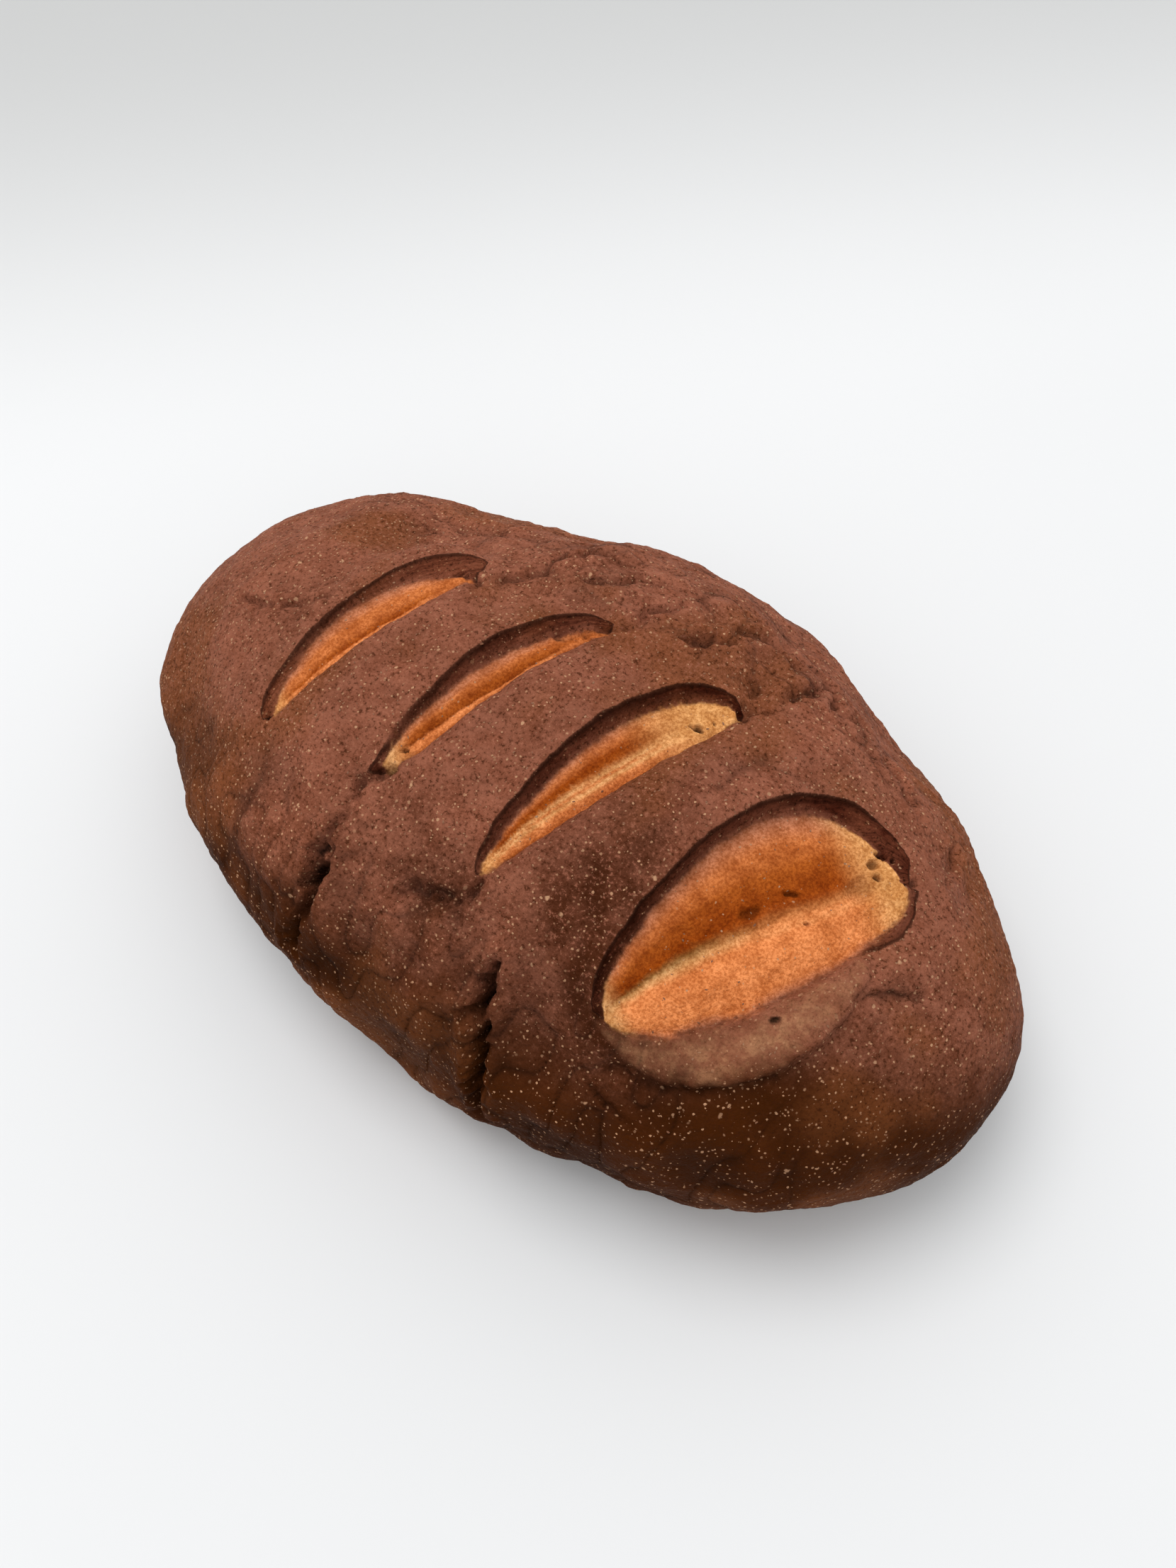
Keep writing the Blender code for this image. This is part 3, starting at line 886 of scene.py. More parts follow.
@dataclass(frozen=True)
class LoafForm:
    """The whole surface of the loaf: its body, slashes, cracks, wrinkles and holes."""

    body: PlainLoaf = PlainLoaf()
    slashes: tuple[Slash, ...] = SLASHES
    lip: RolledLip = RolledLip()
    grooves: tuple[Groove, ...] = GROOVES
    folds: tuple[Fold, ...] = FOLDS
    mounds: tuple[Mound, ...] = MOUNDS
    bubbles: tuple[Bubble, ...] = BUBBLES
    relief_fade: tuple[float, float] = (3.0, 14.0)
    slash_fade: tuple[float, float] = (34.0, 52.0)
    lump_seed: int = 11
    lump_count: int = 260
    lump_radius: tuple[float, float] = (5.0, 22.0)
    lump_height: float = 0.11
    lump_divisions: int = 8
    lump_fade: tuple[float, float] = (-16.0, -4.0)

    def directions(self, divisions: int) -> bpy.types.Mesh:
        """A finely divided sphere, whose points are directions.

        Args:
            divisions: How often its faces are divided.

        Returns:
            The sphere's mesh.
        """
        shape = bmesh.new()
        bmesh.ops.create_icosphere(shape, subdivisions=divisions, radius=1.0)
        mesh = bpy.data.meshes.new("loaf_skin")
        shape.to_mesh(mesh)
        shape.free()
        return mesh

    def lumps(self) -> list[Mound]:
        """Soft unevenness of the crust, at the same places as in the solid.

        Returns:
            Seeded swellings and hollows.
        """
        sphere = self.directions(self.lump_divisions)
        points = self.body.points(vectors(sphere.vertices, "co"))
        bpy.data.meshes.remove(sphere)
        draw = np.random.default_rng(self.lump_seed)
        places = points[draw.integers(0, len(points), self.lump_count)]
        radii = draw.uniform(*self.lump_radius, self.lump_count)
        heights = draw.uniform(-self.lump_height, self.lump_height, self.lump_count)
        return [Mound(tuple(p), r, h * r) for p, r, h in zip(places, radii, heights)]

    def ragged(self, points: Array) -> Array:
        """Points moved a little to and fro, which makes edges and cracks ragged.

        Args:
            points: Points as rows.

        Returns:
            Moved points.
        """
        moved = points.copy()
        for axis in range(3):
            moved[:, axis] += 0.55 * SmoothNoise(31 + axis).at(points / 4.2 + 3.0 * axis)
            moved[:, axis] += 0.28 * SmoothNoise(41 + axis).at(points / 1.5 + 5.0 * axis)
        return moved

    def edge_places(self, points: Array, ragged: Array) -> tuple[Array, Array]:
        """Places at which the slashes' edges are looked up, which makes them a little ragged.

        Args:
            points: Points as rows.
            ragged: The same points as moved by ragged().

        Returns:
            Places along and across the loaf.
        """
        x, y = (points[:, axis] + EDGE_RAGGED * (ragged[:, axis] - points[:, axis]) for axis in (0, 1))
        return x, y

    def wrinkles(self, points: Array) -> tuple[Array, Array]:
        """Wrinkles and grain of the crust away from the slashes.

        Args:
            points: Points as rows.

        Returns:
            Heights in millimetres, and shares of painted shade in the creases.
        """
        x, y, z = points.T
        far = smooth_step(20.0, 42.0, y) * smooth_step(24.0, 44.0, z)
        flank = smooth_step(30.0, 58.0, -y) * (1.0 - 0.6 * smooth_step(64.0, 78.0, z))
        rough = 0.30 * SmoothNoise(51).at(points / 6.5) + 0.20 * SmoothNoise(52).at(points / 3.1)
        rough += 0.12 * SmoothNoise(53).at(points / 1.5)
        bent = points + 1.8 * SmoothNoise(54).at(points / 11.0)[:, None]
        along = SmoothNoise(55).ridges(bent / np.array([14.0, 3.2, 3.2]))
        down = SmoothNoise(56).ridges(bent / np.array([5.5, 16.0, 16.0]))
        pinched = SmoothNoise(57).ridges(bent / np.array([8.0, 5.5, 5.5]))
        lumps = SmoothNoise(58).at(bent / 12.0)
        pits = SmoothNoise(59).ridges(points / 3.6)
        height = rough + far * (0.60 * along - 0.60 * pinched + 0.1) - flank * 1.0 * (down - 0.45)
        height += flank * 1.7 * lumps - 0.22 * pits
        # Painted shade in the pinched creases of the far side and the folds down the flank.
        dark = 0.5 * far * smooth_step(0.78, 0.95, pinched) + 0.4 * flank * smooth_step(0.7, 0.95, down)
        return height, dark

    def streaks(self, points: Array, cut: Array, grain: Array, dough: Array) -> Array:
        """Lines in the opened slashes, which run along them.

        Args:
            points: Points as rows.
            cut: Distance inside the openings.
            grain: Coordinates that follow the slashes.
            dough: Distance inside the pale dough.

        Returns:
            Heights in millimetres.
        """
        height = np.zeros(len(points))
        part = np.flatnonzero(cut > -0.5)
        along = grain[part] / np.array([22.0, 1.5, 1.0])
        fine = grain[part] / np.array([12.0, 0.8, 1.0])
        crumb = points[part] / 1.1
        dark = 1.0 - smooth_step(-1.0, 1.0, dough[part])
        line = SmoothNoise(61).at(along) * (0.09 + 0.08 * dark)
        line = line + SmoothNoise(62).at(fine) * (0.04 + 0.05 * dark)
        crumbs = (0.10 + 0.12 * dark) * SmoothNoise(63).at(crumb)
        line += crumbs + 0.22 * SmoothNoise(64).at(points[part] / 2.7)
        height[part] = line * smooth_step(-0.5, 1.0, cut[part])
        return height

    def shape(self, points: Array, outward: Array) -> tuple[Array, Array]:
        """Height of the crust over the plain body, and how much light its folds let in.

        Args:
            points: Points of the plain body as rows.
            outward: Direction out of the body at each point.

        Returns:
            Heights in millimetres, and shades from 0 to 1.
        """
        ragged = self.ragged(points)
        x, y = self.edge_places(points, ragged)
        z = points[:, 2]
        marks = self.openings(x, y)
        opened = self.lip.relief(x, y)
        shade = np.ones(len(points))
        for slash in self.slashes:
            lines = slash.lines(x, y)
            opened += slash.relief(lines)
            # Painted shadow: a dark band just inside each slash's skin edge, under the lifted crust.
            edge = np.exp(-(((lines.across - lines.skin - 0.7) / 0.6) ** 2)) * lines.skin_bow**0.5
            shade *= 1.0 - 0.20 * edge * (slash.skin_overrun(lines) <= 0.0)
        opened += self.streaks(points, marks["cut"], marks["grain"], marks["dough"])
        crumbs = 0.35 * SmoothNoise(65).at(points / 2.2) + 0.22 * SmoothNoise(66).at(points / 1.0)
        opened += crumbs * smooth_step(-0.5, 2.0, marks["lip"])
        rest = np.zeros(len(points))
        for mound in self.lumps():
            mound.press(points, rest)
        rest *= 1.0 - smooth_step(*self.lump_fade, marks["cut"]) * smooth_step(*self.slash_fade, z)
        for mound in self.mounds:
            mound.press(points, rest)
        torn = points + CRACK_RAGGED * (ragged - points)
        for groove in self.grooves:
            groove.press(torn, rest, shade)
        for fold in self.folds:
            fold.press(ragged, outward, rest, shade)
        for bubble in self.bubbles:
            bubble.press(ragged, rest, shade)
        crust = 1.0 - smooth_step(-1.0, 0.5, marks["cut"])
        wrinkle, dark = self.wrinkles(points)
        rest += crust * wrinkle
        # Painted shade in the wrinkles' creases, then painted light on their ridges and painted shade in
        # their hollows.
        shade *= 1.0 - crust * dark
        shade *= 1.0 + crust * np.clip(0.26 * wrinkle, -0.32, 0.20)
        fade = smooth_step(*self.relief_fade, z)
        return opened * smooth_step(*self.slash_fade, z) + rest * fade, 1.0 - fade * (1.0 - shade)

    def openings(self, x: Array, y: Array) -> dict[str, Array]:
        """Where the pale dough and the cut faces lie.

        Args:
            x: Places along the loaf.
            y: Places across the loaf.

        Returns:
            Distances inside dough, cut and lip, the grain's coordinates and the dough's tint.
        """
        count = len(x)
        dough = np.full(count, FAR_OUTSIDE)
        cut = np.full(count, FAR_OUTSIDE)
        grain = np.zeros((count, 3))
        tint = np.zeros((count, 3))
        recess_tone_and_shade = np.zeros(count)
        for slash in self.slashes:
            lines = slash.lines(x, y)
            inside = slash.inside_cut(lines)
            closer = inside > cut
            grain[closer] = slash.grain(lines)[closer]
            tint[closer] = slash.tint(lines)[closer]
            recess_tone_and_shade[closer] = slash.recess_tone_and_shade
            cut = np.maximum(cut, inside)
            dough = np.maximum(dough, slash.inside_dough(lines))
        lip = self.lip.inside(x, y)
        return {"dough": dough, "cut": cut, "lip": lip, "grain": grain, "tint": tint, "recess_tone_and_shade": recess_tone_and_shade}


def vectors(items: bpy.types.bpy_prop_collection, name: str) -> Array:
    """Reads a vector property of many items.

    Args:
        items: The items, such as a mesh's vertices.
        name: The property's name.

    Returns:
        One row for each item.
    """
    values = np.empty(3 * len(items))
    items.foreach_get(name, values)
    return values.reshape(-1, 3)


def move_points(mesh: bpy.types.Mesh, places: Array) -> None:
    """Moves a mesh's points.

    Args:
        mesh: The mesh.
        places: New places in millimetres, one row for each point.
    """
    mesh.vertices.foreach_set("co", (places * MM).ravel())
    mesh.update()


def add_object(name: str, data: bpy.types.ID) -> bpy.types.Object:
    """Adds an object to the scene.

    Args:
        name: The object's name.
        data: Its mesh, camera or light.

    Returns:
        The object.
    """
    item = bpy.data.objects.new(name, data)
    bpy.context.scene.collection.objects.link(item)
    return item


def converted(helper: bpy.types.Object) -> bpy.types.Mesh:
    """The mesh that an object's modifiers make. The object is removed.

    Args:
        helper: An object with modifiers.

    Returns:
        A new mesh.
    """
    graph = bpy.context.evaluated_depsgraph_get()
    mesh = bpy.data.meshes.new_from_object(helper.evaluated_get(graph))
    bpy.data.objects.remove(helper)
    return mesh


def mark(mesh: bpy.types.Mesh, name: str, values: Array) -> None:
    """Writes values onto a mesh's points, for its material.

    Args:
        mesh: The mesh.
        name: Name of the attribute.
        values: One number or one row of three for each point.
    """
    rows = values.ndim == 2
    data = mesh.attributes.new(name, "FLOAT_VECTOR" if rows else "FLOAT", "POINT").data
    data.foreach_set("vector" if rows else "value", values.astype(np.float32).ravel())


def put(socket: Socket, value: Socket | float | str | Place | bpy.types.Material) -> None:
    """Links a socket to another, or sets its value.

    Args:
        socket: Socket that takes the value.
        value: An output socket, a number, a name, a material or a colour.
    """
    if isinstance(value, bpy.types.NodeSocket):
        socket.id_data.links.new(value, socket)
    elif isinstance(value, tuple) and len(socket.default_value) == 4:
        socket.default_value = (*value, 1.0)
    else:
        socket.default_value = value


def add_node(
    tree: bpy.types.NodeTree, kind: str, inputs: dict | None = None, **settings: str
) -> bpy.types.Node:
    """Adds a node to a tree.

    Args:
        tree: The tree.
        kind: Name of the node's type.
        inputs: What its inputs take, by their names or numbers.
        settings: Its settings, by their names.

    Returns:
        The node.
    """
    node = tree.nodes.new(kind)
    for name, value in settings.items():
        setattr(node, name, value)
    for name, value in (inputs or {}).items():
        put(node.inputs[name], value)
    return node


class Nodes:
    """Builds the nodes of a material, one short call for each."""

    def __init__(self, name: str) -> None:
        """Makes an empty material with its shader."""
        self.material = bpy.data.materials.new(name)
        self.material.use_nodes = True
        self.tree = self.material.node_tree
        self.shader = self.tree.nodes["Principled BSDF"]
        self.place = self.add("ShaderNodeTexCoord").outputs["Object"]

    def add(self, kind: str, inputs: dict | None = None, **settings: str) -> bpy.types.Node:
        """Adds a node, as add_node() does."""
        return add_node(self.tree, kind, inputs, **settings)

    def dress(self, **values: Socket | float | Colour) -> None:
        """Sets inputs of the shader, whose names are given with low lines for spaces."""
        for name, value in values.items():
            put(self.shader.inputs[name.replace("_", " ")], value)

    def stretched(self, vector: Socket, sizes: Colour) -> Socket:
        """Coordinates multiplied axis by axis.

        Args:
            vector: Coordinates.
            sizes: Multiplier of each axis.

        Returns:
            The new coordinates.
        """
        node = self.add("ShaderNodeVectorMath", {0: vector, 1: sizes}, operation="MULTIPLY")
        return node.outputs["Vector"]

    def noise(
        self, scale: float, detail: float = 2.0, rough: float = 0.5, at: Socket | None = None
    ) -> Socket:
        """Smooth noise from 0 to 1.

        Args:
            scale: Spots for each metre.
            detail: Finer layers.
            rough: Strength of the finer layers.
            at: Coordinates, or the piece's own where left out.

        Returns:
            The noise's value.
        """
        inputs = {"Vector": at or self.place, "Scale": scale, "Detail": detail, "Roughness": rough}
        return self.add("ShaderNodeTexNoise", inputs).outputs["Fac"]

    def bent(self, scale: float, reach: float) -> Socket:
        """The piece's coordinates moved to and fro, which makes round specks uneven.

        Args:
            scale: Bends for each metre.
            reach: How far the coordinates move, in metres.

        Returns:
            The moved coordinates.
        """
        noise = self.add("ShaderNodeTexNoise", {"Vector": self.place, "Scale": scale})
        inputs = {0: noise.outputs["Color"], 1: (reach, reach, reach), 2: self.place}
        return self.add("ShaderNodeVectorMath", inputs, operation="MULTIPLY_ADD").outputs["Vector"]

    def cells(self, scale: float, at: Socket) -> tuple[Socket, Socket]:
        """Scattered cells, for specks.

        Args:
            scale: Cells for each metre.
            at: Coordinates.

        Returns:
            Distance from the nearest cell's middle, and that cell's own random colour.
        """
        node = self.add("ShaderNodeTexVoronoi", {"Vector": at, "Scale": scale, "Randomness": 1.0})
        return node.outputs["Distance"], node.outputs["Color"]

    def rise(self, value: Socket, low: float, high: float, start: float = 0.0, end: float = 1.0) -> Socket:
        """A smooth rise between two values.

        Args:
            value: What it follows.
            low: Where it starts.
            high: Where it ends.
            start: Result at low.
            end: Result at high.

        Returns:
            The result.
        """
        inputs = {"Value": value, "From Min": low, "From Max": high, "To Min": start, "To Max": end}
        return self.add("ShaderNodeMapRange", inputs, interpolation_type="SMOOTHSTEP").outputs["Result"]

    def sums(self, kind: str, first: Socket | float, second: Socket | float) -> Socket:
        """A sum with two numbers.

        Args:
            kind: Name of the operation, such as MULTIPLY.
            first: First number.
            second: Second number.

        Returns:
            The result.
        """
        return self.add("ShaderNodeMath", {0: first, 1: second}, operation=kind).outputs["Value"]

    def mix(
        self, share: Socket | float, first: Socket | Colour, second: Socket | Colour, kind: str = "MIX"
    ) -> Socket:
        """A blend of two colours.

        Args:
            share: How much of the second colour.
            first: First colour.
            second: Second colour.
            kind: Name of the way they blend.

        Returns:
            The blended colour.
        """
        node = self.add("ShaderNodeMix", {0: share}, data_type="RGBA", blend_type=kind)
        put(colour_socket(node.inputs, "A"), first)
        put(colour_socket(node.inputs, "B"), second)
        return colour_socket(node.outputs, "Result")

    def mark(self, name: str, output: str = "Fac") -> Socket:
        """A value that was written onto the mesh's points.

        Args:
            name: Name of the attribute.
            output: Fac for a number, Color for a colour or Vector for coordinates.

        Returns:
            The value.
        """
        return self.add("ShaderNodeAttribute", attribute_name=name).outputs[output]

    def bump(self, height: Socket, distance: float, strength: float, over: Socket | None = None) -> Socket:
        """Fine relief by shading.

        Args:
            height: Height from 0 to 1.
            distance: Metres between 0 and 1.
            strength: Share of it that shows.
            over: Relief that this one adds to.

        Returns:
            The surface's direction.
        """
        inputs = {"Strength": strength, "Distance": distance, "Height": height}
        if over is not None:
            inputs["Normal"] = over
        return self.add("ShaderNodeBump", inputs).outputs["Normal"]


def colour_socket(sockets: bpy.types.bpy_prop_collection, name: str) -> Socket:
    """The colour socket of a given name.

    Args:
        sockets: Inputs or outputs of a node.
        name: The socket's name.

    Returns:
        The socket.
    """
    return next(item for item in sockets if item.name == name and item.type == "RGBA")


@dataclass(frozen=True)
class CrustFinish:
    """Browned rye crust with bran, dark cut faces and pale dough, told apart by marks on the mesh."""

    # base is the upper crust's colour with a painted sheen, flank the lower crust's darker colour, partly
    # its own tone and partly painted shade, and light the painted light on the upper crust.
    base: Colour = (0.248, 0.086, 0.047)
    flank: Colour = (0.062, 0.0155, 0.0014)
    dark: Colour = (0.062, 0.0155, 0.0035)
    light: Colour = (0.370, 0.148, 0.090)
    warm: Colour = (0.215, 0.070, 0.022)
    bran: Colour = (0.500, 0.285, 0.165)
    cut_dark: Colour = (0.43, 0.33, 0.27)
    cut: Colour = (0.76, 0.66, 0.58)
    # Darker cut face colour: partly its own colour and partly painted shade.
    deep_recess_and_shade: Colour = (0.30, 0.15, 0.11)
    # Painted shadow under the skin's torn edge.
    torn: Colour = (0.030, 0.009, 0.004)
    lip: Colour = (0.420, 0.205, 0.105)
    rough: tuple[float, float] = (0.50, 0.70)
    speck_layers: tuple[tuple[float, float, float], ...] = (
        (240.0, 0.14, 0.55),
        (480.0, 0.19, 0.85),
        (950.0, 0.30, 0.75),
    )
    # Darkest and lightest multipliers of the dough's patches, streaks and spots
    dough_tones: tuple[tuple[Colour, Colour], ...] = (
        ((0.78, 0.68, 0.55), (1.12, 1.17, 1.22)),
        ((0.84, 0.78, 0.72), (1.12, 1.15, 1.18)),
        ((0.72, 0.62, 0.50), (1.18, 1.26, 1.36)),
    )

    def crust_colour(self, nodes: Nodes) -> Socket:
        """Colour of the browned crust.

        Args:
            nodes: The material's nodes.

        Returns:
            The colour.
        """
        broad = nodes.rise(nodes.noise(28.0, 3.0), 0.42, 0.70)
        patch = nodes.rise(nodes.noise(190.0, 4.0, 0.65), 0.34, 0.66)
        grain = nodes.noise(1000.0, 3.0, 0.75)
        top_browning_and_light = nodes.mark("top_browning_and_light")
        # Partly real browning and partly painted light and shade: the sheened upper colour laid over the
        # darker flank colour.
        colour = nodes.mix(top_browning_and_light, self.flank, self.base)
        colour = nodes.mix(nodes.sums("MULTIPLY", broad, 0.35), colour, self.dark)
        # Painted light: pale patches only on the upper crust.
        lit = nodes.sums("MULTIPLY", nodes.rise(top_browning_and_light, -0.1, 1.0, 0.0, 0.5), patch)
        colour = nodes.mix(lit, colour, self.light)
        colour = nodes.mix(nodes.sums("MULTIPLY", nodes.mark("warm"), 0.6), colour, self.warm)
        # Painted shade: the patch mark darkens the crust.
        colour = nodes.mix(nodes.mark("patch_shade"), colour, self.dark)
        darker = nodes.rise(grain, 0.49, 0.32, 0.0, 0.8)
        colour = nodes.mix(darker, colour, self.dark)
        # Pale grain, weighted to the upper crust: partly real grain and partly a painted highlight.
        lighter = nodes.rise(grain, 0.53, 0.68, 0.0, 0.7)
        lighter = nodes.sums("MULTIPLY", lighter, nodes.rise(top_browning_and_light, -0.15, 1.0))
        return nodes.mix(lighter, colour, self.light)

    def specks(self, nodes: Nodes, colour: Socket, scale: float, size: float, amount: float) -> Socket:
        """Scattered specks of bran over a colour.

        Args:
            nodes: The material's nodes.
            colour: Colour under them.
            scale: Cells for each metre.
            size: Radius of a speck, as a share of its cell.
            amount: Share of the cells that hold one.

        Returns:
            The colour with specks.
        """
        distance, tone = nodes.cells(scale, nodes.bent(scale * 1.7, 0.45 / scale))
        parts = nodes.add("ShaderNodeSeparateColor", {"Color": tone})
        limit = nodes.sums("MULTIPLY", nodes.rise(parts.outputs["Red"], 1.0 - amount, 1.0), size)
        inside = nodes.sums("SUBTRACT", limit, distance)
        share = nodes.rise(inside, -0.02, 0.06)
        strength = nodes.sums("MULTIPLY", share, nodes.rise(parts.outputs["Green"], -0.6, 1.0))
        return nodes.mix(strength, colour, self.bran)

    def lipped(self, nodes: Nodes, crust: Socket, mottle: Socket) -> Socket:
        """Adds the paler rolled lip to the crust.

        Args:
            nodes: The material's nodes.
            crust: Colour of the crust.
            mottle: Fine noise.

        Returns:
            The colour with the lip.
        """
        cloud = nodes.noise(330.0, 4.0, 0.65)
        lip = nodes.mix(nodes.rise(cloud, 0.36, 0.62, 0.0, 0.75), self.lip, self.base)
        lip = nodes.mix(nodes.rise(mottle, 0.46, 0.72, 0.0, 0.4), lip, self.dark)
        ragged = nodes.sums("MULTIPLY", nodes.noise(180.0, 4.0, 0.7), 7.0)
        edge = nodes.sums("ADD", nodes.mark("lip"), ragged)
        return nodes.mix(nodes.rise(edge, 2.0, 8.0, 0.0, 0.8), crust, lip)

    def opened(self, nodes: Nodes, crust: Socket, line: Socket, mottle: Socket) -> Socket:
        """Adds the dark cut faces to the crust, with a thin painted shadow under the torn skin edge.

        Args:
            nodes: The material's nodes.
            crust: Colour of the crust.
            line: Noise that runs along the slashes.
            mottle: Fine noise.

        Returns:
            The colour with the cut faces.
        """
        tone = nodes.mix(nodes.rise(line, 0.36, 0.62), self.cut_dark, self.cut)
        cut = nodes.mix(1.0, crust, tone, "MULTIPLY")
        # Darker cut faces: partly their own colour and partly painted shade.
        deep_recess_and_shade = nodes.mix(1.0, cut, self.deep_recess_and_shade, "MULTIPLY")
        cut = nodes.mix(nodes.mark("recess_tone_and_shade"), cut, deep_recess_and_shade)
        cut = nodes.mix(nodes.rise(nodes.mark("dough"), -3.0, -0.3, 0.0, 0.45), cut, crust)
        inward = nodes.mark("cut")
        cut_edge = nodes.sums("ADD", inward, nodes.sums("MULTIPLY", mottle, 0.5))
        colour = nodes.mix(nodes.rise(cut_edge, 0.05, 0.8), crust, cut)
        # Painted shadow: a thin dark line just inside the torn skin edge.
        torn = nodes.sums("MULTIPLY", nodes.rise(cut_edge, -0.05, 0.3), nodes.rise(cut_edge, 1.15, 0.55))
        skin_side = nodes.rise(nodes.sums("SUBTRACT", inward, nodes.mark("dough")), 0.5, 1.0, 0.0, 0.7)
        return nodes.mix(nodes.sums("MULTIPLY", torn, skin_side), colour, self.torn)

    def doughy(self, nodes: Nodes, colour: Socket, line: Socket, mottle: Socket) -> Socket:
        """Adds the pale dough, with patches, streaks and spots.

        Args:
            nodes: The material's nodes.
            colour: Colour round the dough.
            line: Noise that runs along the slashes.
            mottle: Fine noise.

        Returns:
            The colour with the dough.
        """
        dough = nodes.mark("tint", "Color")
        patch = nodes.rise(nodes.noise(210.0, 3.0, 0.6), 0.34, 0.66)
        streak = nodes.rise(line, 0.34, 0.66)
        spot = nodes.rise(mottle, 0.36, 0.64)
        for share, pattern, (low, high) in zip((0.75, 0.30, 0.8), (patch, streak, spot), self.dough_tones):
            dough = nodes.mix(share, dough, nodes.mix(pattern, low, high), "MULTIPLY")
        dough = self.specks(nodes, dough, 700.0, 0.20, 0.45)
        soft = nodes.sums("MULTIPLY", nodes.sums("SUBTRACT", nodes.noise(650.0, 3.0), 0.5), 2.0)
        edge = nodes.sums("ADD", nodes.mark("dough"), soft)
        return nodes.mix(nodes.rise(edge, -0.5, 1.1), colour, dough)

    def build(self) -> bpy.types.Material:
        """Makes the material.

        Returns:
            The material.
        """
        nodes = Nodes("crust_finish")
        colour = self.crust_colour(nodes)
        for scale, size, amount in self.speck_layers:
            colour = self.specks(nodes, colour, scale, size, amount)
        grain = nodes.mark("grain", "Vector")
        line = nodes.noise(1.0, 3.0, 0.6, nodes.stretched(grain, (0.05, 1.15, 1.0)))
        mottle = nodes.noise(1500.0, 3.0, 0.65)
        colour = self.lipped(nodes, colour, mottle)
        colour = self.opened(nodes, colour, line, mottle)
        colour = self.doughy(nodes, colour, line, mottle)
        # The shade mark holds painted shade in cracks, creases, folds, holes and under the slashes' skin
        # edges, and painted light on wrinkle ridges; it multiplies the colour.
        shade = nodes.add("ShaderNodeCombineColor")
        for part in ("Red", "Green", "Blue"):
            put(shade.inputs[part], nodes.mark("shade"))
        colour = nodes.mix(1.0, colour, shade.outputs["Color"], "MULTIPLY")
        fine = nodes.noise(1500.0, 3.0, 0.6)
        normal = nodes.bump(fine, 0.0004, 0.7, nodes.bump(nodes.noise(480.0, 4.0, 0.6), 0.0009, 0.7))
        rough = nodes.rise(fine, 0.3, 0.7, *self.rough)
        nodes.dress(Base_Color=colour, Roughness=rough, Specular_IOR_Level=0.03, Normal=normal)
        return nodes.material


@dataclass(frozen=True)
class BranFinish:
    """Tan bran with uneven colour."""

    pale: Colour = (0.370, 0.195, 0.100)
    tan: Colour = (0.220, 0.088, 0.040)

    def build(self) -> bpy.types.Material:
        """Makes the material.

        Returns:
            The material.
        """
        nodes = Nodes("bran_finish")
        share = nodes.rise(nodes.noise(420.0, 1.0), 0.38, 0.66)
        normal = nodes.bump(nodes.noise(2500.0, 2.0), 0.0001, 0.5)
        nodes.dress(Base_Color=nodes.mix(share, self.tan, self.pale), Roughness=0.6, Normal=normal)
        return nodes.material


@dataclass(frozen=True)
class FloorFinish:
    """Plain pale floor, with painted shade that greys it towards the back."""

    heading: Place
    colour: Colour = (0.79, 0.79, 0.785)
    back_shade: Colour = (0.575, 0.575, 0.565)
    fade: tuple[float, float] = (0.17, 0.47)

    def build(self) -> bpy.types.Material:
        """Makes the material.

        Returns:
            The material.
        """
        nodes = Nodes("floor_finish")
        cloud = nodes.rise(nodes.noise(3.0, 2.0), 0.3, 0.7)
        paler = tuple(0.985 * part for part in self.colour)
        inputs = {0: nodes.place, 1: self.heading}
        away = nodes.add("ShaderNodeVectorMath", inputs, operation="DOT_PRODUCT")
        colour = nodes.mix(cloud, self.colour, paler)
        # Painted shade: the floor greys towards the back, where the sweep turns up away from the light.
        colour = nodes.mix(nodes.rise(away.outputs["Value"], *self.fade), colour, self.back_shade)
        nodes.dress(Base_Color=colour, Roughness=0.9, Specular_IOR_Level=0.2)
        return nodes.material


